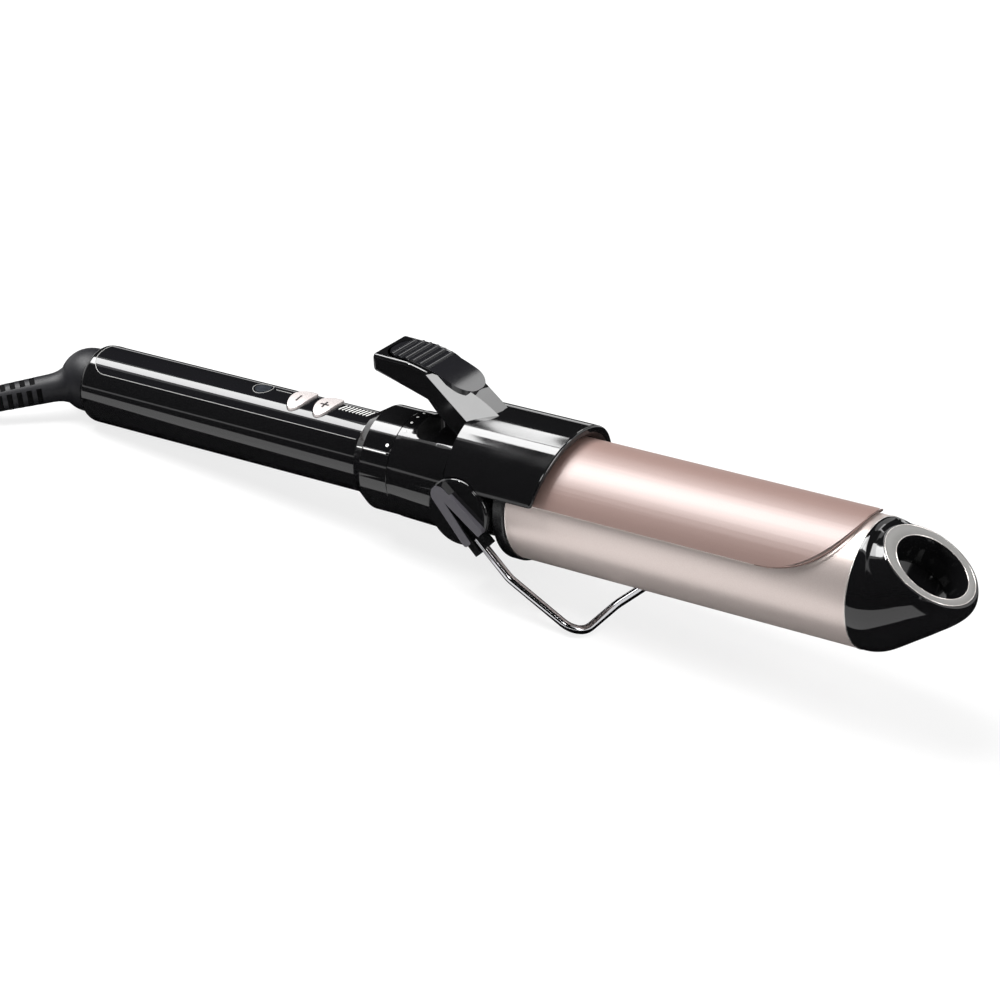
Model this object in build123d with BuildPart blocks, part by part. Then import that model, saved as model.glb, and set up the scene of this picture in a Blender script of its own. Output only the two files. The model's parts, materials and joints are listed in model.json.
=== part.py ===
"""Curling iron with a sprung clamp, a folding wire stand, a temperature dial and a swivel cord.

Every piece is modelled along the iron's own axis: X runs from the rear rim of the handle to the tip,
+Z is the side of the thumb lever. At the end the iron is tilted so that it rests on the stand's foot
and on the rear of the handle, with the floor at z = 0 and the origin under the middle of the iron.
"""
import os
from math import atan2, cos, degrees, radians, sin, sqrt, tan

from build123d import *

# Clearances
running_gap = 0.1
pin_gap = 0.05
side_gap = 0.3

# Handle
handle_length = 111.0
handle_radius = 12.6
handle_wall = 2.0
handle_rim_round = 2.2
panel_start = 3.0
panel_front_margin = 1.0
panel_half_angle = 48.5
panel_thickness = 1.2
panel_corner = 6.0
screw_rear_station = 22.0
screw_front_margin = 8.0
screw_radius = 1.25
screw_head_radius = 2.4
screw_head_height = 1.6
screw_post_radius = 3.0
screw_floor = 3.0

# Board, switches, buttons and indicator
board_start = 30.0
board_front_margin = 11.5
board_width = 19.0
board_thickness = 1.2
board_underside = -0.4
rail_width = 2.2
rail_depth = 2.4
button_front_margin = 18.6
button_spacing = 10.0
button_length = 6.8
button_width = 13.0
button_proud = 0.7
button_travel = 0.8
button_underside = 6.2
button_flange = 0.8
button_flange_height = 1.0
switch_size = 6.0
switch_height = 3.5
plunger_radius = 1.6
plunger_depth = 1.3
lens_front_margin = 44.0
lens_radius = 2.6
light_pipe_radius = 1.6
emitter_radius = 1.5
emitter_height = 4.4
capacitor_length = 16.0
capacitor_width = 7.0
capacitor_height = 6.0
triac_length = 10.0
triac_width = 4.5
triac_height = 6.5
chip_size = 6.0
chip_height = 1.6
terminal_length = 3.4
terminal_width = 15.0
terminal_height = 4.2

# Temperature dial
dial_length = 14.0
dial_wall = 3.1
dial_rear_wall = 0.7
dial_cone_length = 4.0
dial_seat_radius = 13.2
dial_index_angle = 58.0
dial_index_width = 0.7
dial_index_height = 0.35
track_width = 4.0
track_depth = 0.6
wiper_angle = 36.0
wiper_thickness = 0.6
wiper_groove = 1.1

# Neck housing and barrel collar
neck_end = 146.0
neck_step = 0.2
neck_flare = 0.5
core_radius = 15.0
lead_bore_radius = 8.0
spigot_length = 4.6
well_start = 134.0
well_floor = 12.8
well_half_width = 9.3
collar_start = 166.0
collar_end = 170.0
collar_radius = 19.8
collar_spigot_length = 10.0

# Barrel, heater and tip
barrel_length = 112.8
barrel_radius = 19.0
barrel_wall = 1.0
spreader_start = 186.0
spreader_end = 262.0
spreader_wall = 2.2
spreader_web = 5.0
spreader_half_width = 8.0
heater_thickness = 3.0
heater_width = 14.0
heater_margin = 3.0
fuse_radius = 2.0
fuse_length = 11.0
lead_radius = 0.9
lead_side = 5.6
lead_height = 3.2
lead_overlap = 5.0
tip_spigot_length = 9.0
tip_spigot_wall = 2.0
tip_collar_length = 0.7
tip_fan_height = 19.4
tip_shoulder_angle = 26.0
tip_shoulder_reach = (0.9, 34.3)
tip_shoulder_half_width = 18.4
tip_brow_angle = 49.0
tip_brow_reach = (2.0, 34.8)
tip_brow_half_width = 16.8
tip_face_angle = 57.0
tip_face_reach = (2.7, 33.1)
tip_face_half_width = 13.9
ring_inset = 0.6
ring_thickness = 1.4
ring_hole_half_length = 11.1
ring_hole_half_width = 10.4
ring_hole_shift = 0.7
tip_hollow_depth = 10.0

# Clamp: lever body, thumb pad, plate, pivot
pivot_x = 155.2
pin_radius = 1.6
pin_half_length = 21.0
shell_start = 150.5
shell_end = 185.5
shell_radius = 23.0
shell_rise = 1.4
shell_inner_radius = 20.5
shell_half_angle = 71.0
shell_front_bevel = 1.7
shell_front_rake = 6.0
shell_rear_wall = 2.0
shell_rear_inner_radius = 18.2
ear_inner = 15.2
ear_thickness = 2.4
ear_radius = 8.8
ear_top = 14.6
lever_half_width = 8.3
lever_rear = 116.8
lever_top = 37.6
lever_thickness = 5.4
lever_bend = (129.0, 37.2)
lever_slope = (146.0, 31.9)
lever_foot = (158.5, 24.0)
lever_heel = (136.6, 27.0)
lever_crook = (139.5, 23.7)
lever_root = (146.5, 17.4)
lever_rear_round = 0.9
lever_flank_start = (136.5, 34.6)
lever_flank_end = (154.3, 19.5)
lever_flank_top = (153.0, 27.5)
lever_flank_top_half_width = 3.5
pad_half_width = 6.6
pad_corner = 5.8
pad_start = 119.6
pad_end = 150.0
pad_depth = 1.4
pad_proud = 0.3
pad_ridge_count = 6
pad_ridge_pitch = 2.6
pad_ridge_start = 122.6
pad_ridge_radius = 0.55
plate_start = 171.2
plate_end = 280.2
plate_radius = 20.2
plate_thickness = 0.8
plate_half_angle = 70.5
plate_nose_length = 26.0
plate_edge_height = 6.0
plate_nose_middle = (270.6, 11.8)
rivet_station = 176.0
rivet_radius = 1.6
rivet_angle = 42.0
rivet_length = 2.4
spring_radius = 2.8
spring_wire = 1.1
spring_turns = 4
spring_pitch = 1.3
spring_slot_half_width = 4.2
spring_lever_leg = 17.6
spring_neck_leg = 6.4

# Stand
hub_radius = 10.6
hub_thickness = 4.0
hub_edge = 0.8
hub_clearance = 0.4
arm_angle = -44.0
arm_rear = 9.8
arm_front = 13.6
arm_rear_width = 6.0
arm_front_width = 7.4
arm_height = 1.4
arm_groove_width = 3.0
wire_radius = 1.35
stand_half_width = 21.6
knee_distance = 24.7
foot_reach = (42.0, -30.2)
foot_arch = 3.6
knee_bend = 9.0
foot_bend = 6.0
arch_bend = 14.0
wire_socket = 4.0

# Swivel boot and cord
ball_back = 4.5
ball_radius = 10.4
boot_turn = 48.5
boot_drop = 8.0
boot_length = 46.0
boot_neck_start = 16.0
boot_neck_radius = 4.9
boot_end_radius = 3.9
boot_slot_pitch = 4.1
boot_slot_width = 2.0
boot_slot_depth = 1.2
boot_slot_count = 6
boot_slot_length = 5.0
boot_root_radius = 6.6
boot_root_height = 9.0
retainer_thickness = 2.0
cord_radius = 3.0
lead_length = 12.4
coil_mean_radius = 34.2
coil_columns = 4
coil_layers = 2
coil_distance = 30.0
tie_thickness = 0.8
tie_arc = 24.0
tie_angle = 140.0

# Route of the cord's last stretch, from the coil's centre on the floor: over the turns to the plug on top
tail_route = [
    (2.7, 43.6, 10.6),
    (17.4, 40.5, 11.8),
    (31.5, 30.7, 13.6),
    (39.5, 18.5, 15.6),
    (42.1, 6.7, 16.4),
    (40.4, -5.2, 17.2),
    (34.7, -15.8, 18.1),
    (25.5, -23.8, 19.0),
    (14.2, -28.0, 19.65),
    (2.5, -28.0, 19.65),
]

# Plug with two round pins
plug_length = 36.0
plug_width = 35.3
plug_thickness = 13.7
plug_neck_length = 11.0
plug_neck_width = 10.0
plug_shoulder = 23.0
plug_corner = 4.0
plug_edge = 1.6
plug_pin_radius = 2.0
plug_pin_length = 19.0
plug_pin_spacing = 18.6
plug_pin_root = 6.0
plug_pin_root_radius = 1.5
plug_pin_round = 1.2

# Values worked out from the driving dimensions
panel_end = handle_length - panel_front_margin
screw_stations = (screw_rear_station, handle_length - screw_front_margin)
board_end = handle_length - board_front_margin
plus_station = handle_length - button_front_margin
button_stations = (plus_station - button_spacing, plus_station)
lens_station = handle_length - lens_front_margin
dial_radius = dial_seat_radius + dial_wall
dial_rear_radius = dial_seat_radius + dial_rear_wall
neck_radius_rear = dial_radius + neck_step
neck_radius_front = neck_radius_rear + neck_flare
handle_bore = handle_radius - handle_wall
panel_floor = handle_radius - panel_thickness
panel_half_width = handle_radius * sin(radians(panel_half_angle))
board_top = board_underside + board_thickness
button_top_radius = handle_radius + button_proud
dial_start = handle_length + side_gap
dial_end = dial_start + dial_length
dial_middle = dial_start + dial_length / 2
neck_start = dial_end + side_gap
barrel_end = collar_end + barrel_length
barrel_bore = barrel_radius - barrel_wall
spigot_radius = barrel_bore - running_gap
plate_inner_radius = plate_radius - plate_thickness
ear_outer = ear_inner + ear_thickness
hub_inner = ear_outer + side_gap
hub_outer = hub_inner + hub_thickness
arm_inner = collar_radius + 2 * side_gap
ball_x = -ball_back
seat_radius = ball_radius + 2 * running_gap


def polar(distance, angle):
    """Point in the XZ plane at a distance and an angle above +X, in degrees."""
    return (distance * cos(radians(angle)), distance * sin(radians(angle)))


# Handle: two half shells, a control panel let into the top one, and the screws that close them.


def handle_half(side):
    """One half of the handle's tube, above or below the parting plane, with the seat of the cord's ball."""
    with BuildPart() as half:
        with BuildSketch(Plane.YZ):
            Circle(handle_radius)
            Rectangle(2 * handle_radius, handle_radius,
                      align=(Align.CENTER, Align.MIN if side > 0 else Align.MAX), mode=Mode.INTERSECT)
        extrude(amount=handle_length)
        fillet(half.edges().filter_by(GeomType.CIRCLE).group_by(Axis.X)[0], handle_rim_round)
        with Locations((ball_x, 0, 0)):
            Sphere(seat_radius, mode=Mode.SUBTRACT)
        with BuildSketch(Plane.YZ.offset(ball_radius - ball_back)):
            Circle(handle_bore)
        extrude(amount=handle_length, mode=Mode.SUBTRACT)
    return half.part


def panel_band(outer_radius):
    """Curved plate over the top of the handle with rounded rear corners, out to a given radius."""
    with BuildPart() as band:
        with BuildSketch(Plane.XY) as outline:
            with Locations((panel_start, 0)):
                Rectangle(panel_end - panel_start, 2 * panel_half_width, align=(Align.MIN, Align.CENTER))
            fillet(outline.vertices().group_by(Axis.X)[0], panel_corner)
        extrude(amount=2 * handle_radius)
        with BuildSketch(Plane.YZ):
            Circle(outer_radius)
            Circle(panel_floor, mode=Mode.SUBTRACT)
        extrude(amount=handle_length, mode=Mode.INTERSECT)
    return band.part


def button_window(length, width, bottom, top):
    """Upright oval prisms at both button stations."""
    with BuildPart() as windows:
        with BuildSketch(Plane.XY.offset(bottom)):
            with Locations(*[(station, 0) for station in button_stations]):
                Ellipse(length / 2, width / 2)
        extrude(amount=top - bottom)
    return windows.part


def lens_hole(radius):
    """Upright round prism at the indicator."""
    with BuildPart() as hole:
        with Locations((lens_station, 0, handle_bore / 2)):
            Cylinder(radius, handle_radius * 2, align=(Align.CENTER, Align.CENTER, Align.MIN))
    return hole.part


window_cut = button_window(button_length + 2 * side_gap, button_width + 2 * side_gap, 0, 2 * handle_radius)

with BuildPart() as handle_upper:
    add(handle_half(1))
    with BuildSketch(Plane.XY):
        with Locations(*[(station, 0) for station in screw_stations]):
            Circle(screw_post_radius)
    extrude(amount=handle_bore + running_gap)
    add(panel_band(handle_radius + panel_thickness), mode=Mode.SUBTRACT)
    with BuildSketch(Plane.XY):
        with Locations(*[(station, 0) for station in screw_stations]):
            Circle(screw_radius)
    extrude(amount=handle_bore - 2 * handle_wall, mode=Mode.SUBTRACT)
    add(window_cut, mode=Mode.SUBTRACT)
    add(lens_hole(light_pipe_radius + running_gap), mode=Mode.SUBTRACT)

with BuildPart() as handle_lower:
    add(handle_half(-1))
    for side in (-1, 1):
        with Locations((board_start, side * (handle_bore + running_gap), board_underside)):
            Box(board_end - board_start, rail_width, rail_depth,
                align=(Align.MIN, Align.MAX if side > 0 else Align.MIN, Align.MAX))
    with BuildSketch(Plane.XY):
        with Locations(*[(station, 0) for station in screw_stations]):
            Circle(screw_post_radius)
    extrude(amount=-handle_bore - running_gap)
    with BuildSketch(Plane.XY):
        with Locations(*[(station, 0) for station in screw_stations]):
            Circle(screw_radius + running_gap)
    extrude(amount=-2 * handle_radius, mode=Mode.SUBTRACT)
    with BuildSketch(Plane.XY.offset(-screw_floor)):
        with Locations(*[(station, 0) for station in screw_stations]):
            Circle(screw_head_radius + running_gap)
    extrude(amount=-2 * handle_radius, mode=Mode.SUBTRACT)

with BuildPart() as case_screws:
    with BuildSketch(Plane.XY.offset(-screw_floor - screw_head_height)):
        with Locations(*[(station, 0) for station in screw_stations]):
            Circle(screw_head_radius)
    extrude(amount=screw_head_height)
    with BuildSketch(Plane.XY.offset(-screw_floor)):
        with Locations(*[(station, 0) for station in screw_stations]):
            Circle(screw_radius)
    extrude(amount=screw_floor + handle_bore - 3 * handle_wall)

with BuildPart() as control_panel:
    add(panel_band(handle_radius))
    add(window_cut, mode=Mode.SUBTRACT)
    add(lens_hole(lens_radius + running_gap), mode=Mode.SUBTRACT)

# Board with its switches, parts and indicator; it lies on two rails of the lower shell.

with BuildPart() as circuit_board:
    with Locations((board_start, 0, board_underside)):
        Box(board_end - board_start, board_width, board_thickness,
            align=(Align.MIN, Align.CENTER, Align.MIN))

with BuildPart() as switch_bodies:
    with BuildSketch(Plane.XY.offset(board_top)):
        with Locations(*[(station, 0) for station in button_stations]):
            Rectangle(switch_size, switch_size)
    extrude(amount=switch_height)
    with BuildSketch(Plane.XY.offset(board_top + switch_height)):
        with Locations(*[(station, 0) for station in button_stations]):
            Circle(plunger_radius + side_gap)
    extrude(amount=-plunger_depth - button_travel - side_gap, mode=Mode.SUBTRACT)

with BuildPart() as button_shape:
    add(button_window(button_length, button_width, button_underside, 2 * handle_radius))
    with BuildSketch(Plane.YZ):
        Circle(button_top_radius)
    extrude(amount=handle_length, mode=Mode.INTERSECT)
    with BuildSketch(Plane.XY.offset(button_underside)):
        with Locations(*[(station, 0) for station in button_stations]):
            Ellipse(button_length / 2 + button_flange, button_width / 2 + button_flange)
    extrude(amount=button_flange_height)

button_solids = button_shape.solids().sort_by(Axis.X)

with BuildPart() as minus_button:
    add(button_solids[0])

with BuildPart() as plus_button:
    add(button_solids[1])


def switch_plunger(station):
    """Plunger of one switch, from inside the switch body up to the button's underside."""
    bottom = board_top + switch_height - plunger_depth
    with BuildPart() as plunger:
        with Locations((station, 0, bottom)):
            Cylinder(plunger_radius, button_underside - bottom,
                     align=(Align.CENTER, Align.CENTER, Align.MIN))
    return plunger


minus_plunger = switch_plunger(button_stations[0])
plus_plunger = switch_plunger(button_stations[1])

with BuildPart() as status_emitter:
    with Locations((lens_station, 0, board_top)):
        Cylinder(emitter_radius, emitter_height, align=(Align.CENTER, Align.CENTER, Align.MIN))

with BuildPart() as indicator_lens:
    with Locations((lens_station, 0, board_top + emitter_height)):
        Cylinder(light_pipe_radius, handle_radius, align=(Align.CENTER, Align.CENTER, Align.MIN))
    with Locations((lens_station, 0, panel_floor)):
        Cylinder(lens_radius, handle_radius, align=(Align.CENTER, Align.CENTER, Align.MIN))
    with BuildSketch(Plane.YZ):
        Circle(handle_radius)
    extrude(amount=handle_length, mode=Mode.INTERSECT)

with BuildPart() as board_components:
    with Locations((board_start + capacitor_length, 0, board_underside)):
        Box(capacitor_length, capacitor_width, capacitor_height,
            align=(Align.CENTER, Align.CENTER, Align.MAX))
    with Locations((board_start + 2 * capacitor_length + triac_length, 0, board_underside)):
        Box(triac_length, triac_width, triac_height, align=(Align.CENTER, Align.CENTER, Align.MAX))
    with Locations((board_start + capacitor_length, 0, board_top)):
        Box(chip_size, chip_size, chip_height, align=(Align.CENTER, Align.CENTER, Align.MIN))
    with Locations((board_end, 0, board_top)):
        Box(terminal_length, terminal_width, terminal_height, align=(Align.MAX, Align.CENTER, Align.MIN))

# Neck housing: it plugs into the handle, carries the dial and the pivot, and holds the barrel's collar.

spigot_start = handle_length - spigot_length

with BuildPart() as neck_housing:
    with BuildSketch(Plane.XZ):
        Polygon((spigot_start, 0), (spigot_start, handle_bore - running_gap),
                (handle_length, handle_bore - running_gap), (handle_length, dial_seat_radius),
                (neck_start, dial_seat_radius), (neck_start, neck_radius_rear),
                (neck_end, neck_radius_front), (neck_end, core_radius),
                (collar_start, core_radius), (collar_start, 0), align=None)
    revolve(axis=Axis.X)
    with BuildSketch(Plane.YZ.offset(spigot_start)):
        Circle(lead_bore_radius)
    extrude(amount=collar_start - spigot_start, mode=Mode.SUBTRACT)
    with BuildSketch(Plane.YZ.offset(well_start)):
        with Locations((0, well_floor)):
            Rectangle(2 * well_half_width, handle_radius, align=(Align.CENTER, Align.MIN))
    extrude(amount=neck_end - well_start, mode=Mode.SUBTRACT)
    with Locations((pivot_x, 0, lead_bore_radius / 2)):
        Box(2 * spring_slot_half_width, 2 * spring_slot_half_width, core_radius,
            align=(Align.CENTER, Align.CENTER, Align.MIN), mode=Mode.SUBTRACT)
    with BuildSketch(Plane.XZ):
        with Locations((pivot_x, 0)):
            Circle(pin_radius)
    extrude(amount=core_radius, both=True, mode=Mode.SUBTRACT)
    with BuildSketch(Plane.XZ):
        with Locations((dial_middle, dial_seat_radius - track_depth)):
            Rectangle(track_width, dial_seat_radius, align=(Align.CENTER, Align.MIN))
    revolve(axis=Axis.X, mode=Mode.SUBTRACT)

with BuildPart() as dial_track:
    with BuildSketch(Plane.YZ.offset(dial_middle - track_width / 2)):
        Circle(dial_seat_radius)
        Circle(dial_seat_radius - track_depth, mode=Mode.SUBTRACT)
    extrude(amount=track_width)

with BuildPart() as barrel_collar:
    with BuildSketch(Plane.XZ):
        Polygon((collar_start, lead_bore_radius), (collar_start, collar_radius),
                (collar_end, collar_radius), (collar_end, spigot_radius),
                (collar_end + collar_spigot_length, spigot_radius),
                (collar_end + collar_spigot_length, spigot_radius - tip_spigot_wall),
                (collar_end, spigot_radius - tip_spigot_wall), (collar_end, lead_bore_radius), align=None)
    revolve(axis=Axis.X)

# Dial ring on its seat between the handle and the neck, with the wiper that reads its setting.

with BuildPart() as temperature_dial:
    with BuildSketch(Plane.XZ):
        Polygon((dial_start, dial_seat_radius + running_gap), (dial_start, dial_rear_radius),
                (dial_start + dial_cone_length, dial_radius), (dial_end, dial_radius),
                (dial_end, dial_seat_radius + running_gap), align=None)
    revolve(axis=Axis.X)
    with BuildSketch(Plane.YZ.offset(dial_start + dial_cone_length)):
        with Locations(Rotation(0, 0, 90 + dial_index_angle)):
            with Locations((dial_radius, 0)):
                Rectangle(2 * dial_index_height, dial_index_width)
    extrude(amount=dial_length - dial_cone_length)
    with BuildSketch(Plane.XZ.rotated((wiper_angle / 2, 0, 0))):
        with Locations((dial_middle, dial_seat_radius)):
            Rectangle(track_width, 2 * wiper_groove)
    revolve(axis=Axis.X, revolution_arc=wiper_angle, mode=Mode.SUBTRACT)

with BuildPart() as dial_wiper:
    with BuildSketch(Plane.XZ.rotated((wiper_angle / 2, 0, 0))):
        with Locations((dial_middle, dial_seat_radius + wiper_groove)):
            Rectangle(track_width, wiper_thickness, align=(Align.CENTER, Align.MAX))
    revolve(axis=Axis.X, revolution_arc=wiper_angle)

# Barrel, heater and tip.

with BuildPart() as barrel_tube:
    with BuildSketch(Plane.YZ.offset(collar_end)):
        Circle(barrel_radius)
        Circle(barrel_bore, mode=Mode.SUBTRACT)
    extrude(amount=barrel_length)


def heat_spreader(side):
    """Half-round aluminium extrusion that presses one face of the heater towards the barrel wall."""
    with BuildPart() as spreader:
        with BuildSketch(Plane.YZ.offset(spreader_start)):
            Circle(barrel_bore)
            Circle(barrel_bore - spreader_wall, mode=Mode.SUBTRACT)
            with Locations((0, side * heater_thickness / 2)):
                Rectangle(2 * barrel_radius, 2 * barrel_radius,
                          align=(Align.CENTER, Align.MIN if side > 0 else Align.MAX), mode=Mode.INTERSECT)
            with Locations((0, side * heater_thickness / 2)):
                Rectangle(2 * spreader_half_width, spreader_wall,
                          align=(Align.CENTER, Align.MIN if side > 0 else Align.MAX))
                Rectangle(spreader_web, barrel_bore - heater_thickness / 2 - spreader_wall / 2,
                          align=(Align.CENTER, Align.MIN if side > 0 else Align.MAX))
        extrude(amount=spreader_end - spreader_start)
    return spreader


spreader_upper = heat_spreader(1)
spreader_lower = heat_spreader(-1)

with BuildPart() as heater_element:
    with Locations((spreader_start + heater_margin, 0, 0)):
        Box(spreader_end - spreader_start - 2 * heater_margin, heater_width, heater_thickness,
            align=(Align.MIN, Align.CENTER, Align.CENTER))

fuse_seat = (spreader_start + fuse_length, spreader_web / 2 + fuse_radius,
             heater_thickness / 2 + spreader_wall + fuse_radius)

with BuildPart() as thermal_fuse:
    with Locations(Location(fuse_seat, (0, 90, 0))):
        Cylinder(fuse_radius, fuse_length)

with BuildPart() as heater_leads:
    for side in (-1, 1):
        with Locations(Location((board_end, side * lead_side, lead_height), (0, 90, 0))):
            Cylinder(lead_radius, spreader_start - board_end, align=(Align.CENTER, Align.CENTER, Align.MIN))

# Tip cap: oval sections fan out around one level line, from the barrel's end to the slanted face.


def tip_plane(angle):
    """Section plane at an angle from upright; local x runs across the iron, local y up the section."""
    return Plane(origin=(barrel_end + tip_collar_length, 0, tip_fan_height), x_dir=(0, 1, 0),
                 z_dir=(cos(radians(angle)), 0, sin(radians(angle))))


def tip_oval(reach, half_width):
    """Oval of a tip section, between its near and far reach below the fan line."""
    with Locations((0, -(reach[0] + reach[1]) / 2)):
        Ellipse(half_width, (reach[1] - reach[0]) / 2)


tip_base_reach = (tip_fan_height - barrel_radius, tip_fan_height + barrel_radius)
ring_reach = (tip_face_reach[0] + ring_inset, tip_face_reach[1] - ring_inset)
hole_middle = (tip_face_reach[0] + tip_face_reach[1]) / 2 + ring_hole_shift
hole_reach = (hole_middle - ring_hole_half_length, hole_middle + ring_hole_half_length)

with BuildPart() as tip_cap:
    with BuildSketch(Plane.YZ.offset(barrel_end)):
        Circle(barrel_radius)
    extrude(amount=tip_collar_length)
    with BuildSketch(tip_plane(0)):
        tip_oval(tip_base_reach, barrel_radius)
    with BuildSketch(tip_plane(tip_shoulder_angle)):
        tip_oval(tip_shoulder_reach, tip_shoulder_half_width)
    with BuildSketch(tip_plane(tip_brow_angle)):
        tip_oval(tip_brow_reach, tip_brow_half_width)
    loft()
    with BuildSketch(tip_plane(tip_brow_angle)):
        tip_oval(tip_brow_reach, tip_brow_half_width)
    with BuildSketch(tip_plane(tip_face_angle)):
        tip_oval(tip_face_reach, tip_face_half_width)
    loft()
    with BuildSketch(tip_plane(tip_face_angle)):
        tip_oval(ring_reach, tip_face_half_width - ring_inset)
    extrude(amount=-ring_thickness, mode=Mode.SUBTRACT)
    with BuildSketch(tip_plane(tip_face_angle)):
        tip_oval(hole_reach, ring_hole_half_width)
    extrude(amount=-tip_hollow_depth, mode=Mode.SUBTRACT)
    with BuildSketch(Plane.YZ.offset(barrel_end)):
        Circle(spigot_radius)
        Circle(spigot_radius - tip_spigot_wall, mode=Mode.SUBTRACT)
    extrude(amount=-tip_spigot_length)

with BuildPart() as tip_ring:
    with BuildSketch(tip_plane(tip_face_angle)):
        tip_oval(ring_reach, tip_face_half_width - ring_inset)
        with Locations((0, -hole_middle)):
            Ellipse(ring_hole_half_width, ring_hole_half_length, mode=Mode.SUBTRACT)
    extrude(amount=-ring_thickness)

# Clamp: lever body with its ears, thumb pad, plate and rivets, all turning on the cross pin.


def wedge(half_angle, reach):
    """Fan of the YZ plane around +Z, wide enough to trim a ring to an arc."""
    side = reach * sin(radians(half_angle))
    foot = reach * cos(radians(half_angle))
    Polygon((0, 0), (side, foot), (side, reach), (-side, reach), (-side, foot), align=None,
            mode=Mode.INTERSECT)


def lever_top_line(rise):
    """Side view of the lever's top, from its rear end to where it runs into the shell."""
    Polyline((lever_rear, lever_top + rise), (lever_bend[0], lever_bend[1] + rise))
    ThreePointArc((lever_bend[0], lever_bend[1] + rise), (lever_slope[0], lever_slope[1] + rise),
                  (lever_foot[0], lever_foot[1] + rise))


with BuildPart() as clamp_rivets:
    for angle in (-rivet_angle, 0, rivet_angle):
        with Locations(Location((rivet_station, 0, 0), (angle, 0, 0))):
            with Locations((0, 0, plate_inner_radius)):
                Cylinder(rivet_radius, rivet_length, align=(Align.CENTER, Align.CENTER, Align.MIN))

with BuildPart() as pad_shape:
    with BuildSketch(Plane.XZ):
        with BuildLine():
            lever_top_line(pad_proud)
            Line((lever_foot[0], lever_foot[1] + pad_proud), (lever_foot[0], lever_foot[1] - pad_depth))
            lever_top_line(-pad_depth)
            Line((lever_rear, lever_top - pad_depth), (lever_rear, lever_top + pad_proud))
        make_face()
    extrude(amount=pad_half_width, both=True)
    with BuildLine(Plane.XZ) as pad_crest:
        lever_top_line(pad_proud)
    for ridge in range(pad_ridge_count):
        crest = pad_crest.wires()[0].position_at(pad_ridge_start - lever_rear + ridge * pad_ridge_pitch,
                                                 position_mode=PositionMode.LENGTH)
        with Locations(Location(crest, (90, 0, 0))):
            Cylinder(pad_ridge_radius, 2 * pad_half_width)
    with BuildSketch(Plane.XY):
        with Locations(((pad_start + pad_end) / 2, 0)):
            RectangleRounded(pad_end - pad_start, 2 * pad_half_width, pad_corner)
    extrude(amount=2 * lever_top, mode=Mode.INTERSECT)

with BuildPart() as lever_arm:
    with BuildSketch(Plane.XZ):
        with BuildLine():
            lever_top_line(0)
            Polyline(lever_foot, (lever_foot[0], shell_inner_radius), lever_root, lever_crook, lever_heel,
                     (lever_rear, lever_top - lever_thickness), (lever_rear, lever_top))
        make_face()
    extrude(amount=lever_half_width, both=True)
    fillet(lever_arm.edges().group_by(Axis.X)[0], lever_rear_round)
    for side in (-1, 1):
        flank_start = Vector(lever_flank_start[0], side * lever_half_width, lever_flank_start[1])
        flank_end = Vector(lever_flank_end[0], side * lever_half_width, lever_flank_end[1])
        flank_top = Vector(lever_flank_top[0], side * lever_flank_top_half_width, lever_flank_top[1])
        flank_normal = (flank_end - flank_start).cross(flank_top - flank_start) * -side
        with BuildSketch(Plane(origin=flank_start, z_dir=flank_normal)):
            Rectangle(2 * shell_end, 2 * shell_end)
        extrude(amount=shell_radius, mode=Mode.SUBTRACT)

with BuildPart() as clamp_lever:
    with BuildSketch(Plane.YZ.offset(shell_start)):
        with Locations((0, shell_rise)):
            Circle(shell_radius)
        Circle(shell_inner_radius, mode=Mode.SUBTRACT)
        wedge(shell_half_angle, 2 * shell_radius)
    extrude(amount=shell_end - shell_start)
    with BuildSketch(Plane.XZ):
        Polygon((shell_end - shell_front_rake, 0), (shell_end, shell_radius + shell_rise),
                (shell_end, 2 * shell_radius), (2 * shell_end, 2 * shell_radius),
                (2 * shell_end, 0), align=None)
    extrude(amount=2 * shell_radius, both=True, mode=Mode.SUBTRACT)
    front_rim = clamp_lever.edges().filter_by(GeomType.ELLIPSE).sort_by(SortBy.LENGTH)[-1]
    chamfer(front_rim, shell_front_bevel)
    with BuildSketch(Plane.YZ.offset(shell_start)):
        Circle(shell_inner_radius + running_gap)
        Circle(shell_rear_inner_radius, mode=Mode.SUBTRACT)
        wedge(shell_half_angle, 2 * shell_radius)
    extrude(amount=shell_rear_wall)
    add(lever_arm.part)
    for side in (-1, 1):
        with BuildSketch(Plane.XZ.offset(side * (ear_inner + ear_thickness / 2))):
            with Locations((pivot_x, 0)):
                Circle(ear_radius)
            Polygon((shell_start, 0), (shell_start, ear_top), (pivot_x + ear_radius, ear_top),
                    (pivot_x + ear_radius, 0), align=None)
        extrude(amount=ear_thickness / 2, both=True)
    with BuildSketch(Plane.XZ):
        with Locations((pivot_x, 0)):
            Circle(pin_radius + pin_gap)
    extrude(amount=2 * shell_radius, both=True, mode=Mode.SUBTRACT)
    for side in (-1, 1):
        with BuildSketch(Plane.XZ.offset(side * ear_outer)):
            with Locations((pivot_x, 0)):
                Circle(hub_radius + hub_clearance)
        extrude(amount=side * shell_radius, mode=Mode.SUBTRACT)
    add(pad_shape.part, mode=Mode.SUBTRACT)
    add(clamp_rivets.part, mode=Mode.SUBTRACT)

with BuildPart() as thumb_pad:
    add(pad_shape.part)

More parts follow.
